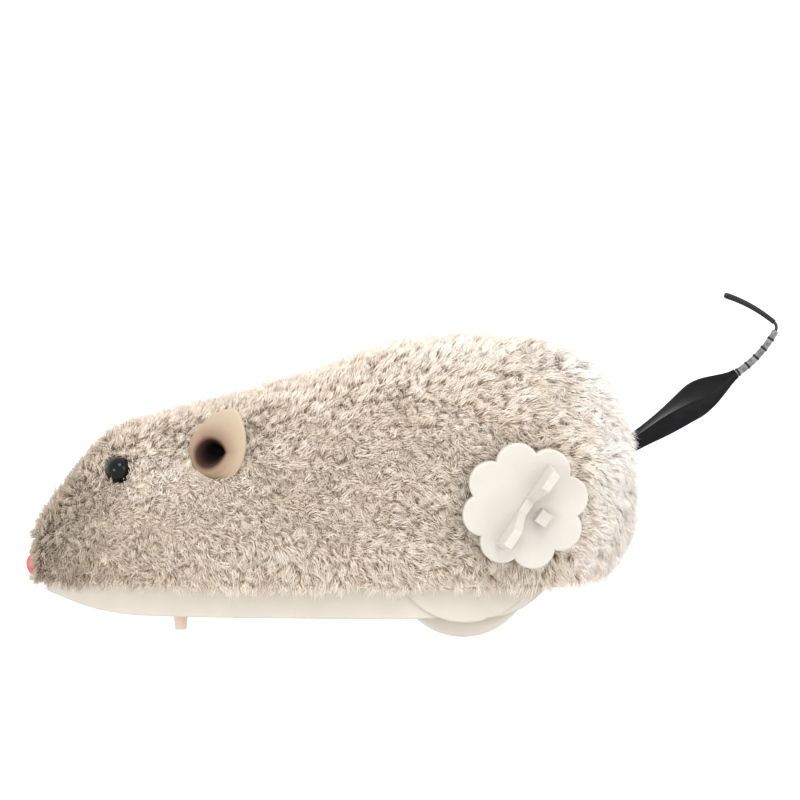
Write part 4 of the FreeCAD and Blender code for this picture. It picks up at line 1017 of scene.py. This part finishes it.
def add_light(name, position, target, size, power):
    data = bpy.data.lights.new(name, "AREA")
    data.shape = "RECTANGLE"
    data.size, data.size_y = size
    data.energy = power
    lamp = bpy.data.objects.new(name, data)
    lamp.location = position
    lamp.rotation_mode = "QUATERNION"
    lamp.rotation_quaternion = (target - Vector(position)).to_track_quat("-Z", "Y")
    bpy.context.scene.collection.objects.link(lamp)


def make_lights():
    centre = (cad_bounds[0] + cad_bounds[1]) / 2
    world = bpy.data.worlds.new("studio")
    world.use_nodes = True
    background = world.node_tree.nodes["Background"]
    background.inputs["Color"].default_value = (1.0, 1.0, 1.0, 1.0)
    background.inputs["Strength"].default_value = 1.42
    bpy.context.scene.world = world
    add_light("key_light", (0.10, -0.55, 0.75), centre, (0.36, 0.28), 3.4)
    add_light("left_light", (-0.65, -0.6, 0.08), centre, (0.3, 0.3), 2.4)
    add_light("right_light", (0.60, -0.5, 0.30), centre, (0.3, 0.3), 1.1)


def make_floor():
    """A plain pale floor, lit from within to stay pale under the mouse, and clear from below."""
    pale, nodes, links, shader = new_material("studio_floor", roughness=0.9, specular=0.1)
    shader.inputs["Base Color"].default_value = (0.35, 0.35, 0.35, 1.0)
    shader.inputs["Emission Color"].default_value = (1.0, 1.0, 1.0, 1.0)
    shader.inputs["Emission Strength"].default_value = 0.9
    side = nodes.new("ShaderNodeNewGeometry")
    clear = nodes.new("ShaderNodeBsdfTransparent")
    mix = nodes.new("ShaderNodeMixShader")
    links.new(side.outputs["Backfacing"], mix.inputs["Fac"])
    links.new(shader.outputs["BSDF"], mix.inputs[1])
    links.new(clear.outputs["BSDF"], mix.inputs[2])
    links.new(mix.outputs["Shader"], nodes["Material Output"].inputs["Surface"])
    square = ((-1, -1), (1, -1), (1, 1), (-1, 1))
    corners = [(FLOOR_REACH * x, FLOOR_REACH * y, 0) for x, y in square]
    floor = add_object("studio_floor", mesh_of("studio_floor", corners, [(0, 1, 2, 3)]), pale)
    floor.location.z = cad_bounds[0].z - 0.1 * MM


def make_camera():
    right = Vector((math.cos(AZIMUTH), math.sin(AZIMUTH), 0))
    back = Vector((
        math.sin(AZIMUTH) * math.cos(ELEVATION),
        -math.cos(AZIMUTH) * math.cos(ELEVATION),
        math.sin(ELEVATION)))
    up = back.cross(right)
    aim = right * FRAME_RIGHT + up * FRAME_UP
    data = bpy.data.cameras.new("camera")
    data.sensor_width = SENSOR
    data.lens = SENSOR * DISTANCE / FIELD
    data.clip_start, data.clip_end = 0.01, 50.0
    camera = bpy.data.objects.new("camera", data)
    camera.location = aim + back * DISTANCE
    camera.rotation_mode = "QUATERNION"
    camera.rotation_quaternion = (-back).to_track_quat("-Z", "Y")
    bpy.context.scene.collection.objects.link(camera)
    bpy.context.scene.camera = camera
    bpy.context.scene.view_settings.view_transform = "Standard"


make_camera()
make_lights()
make_floor()
paint_nodes()
make_fur()
make_eyes()
make_nose()
make_ears()
make_tail()
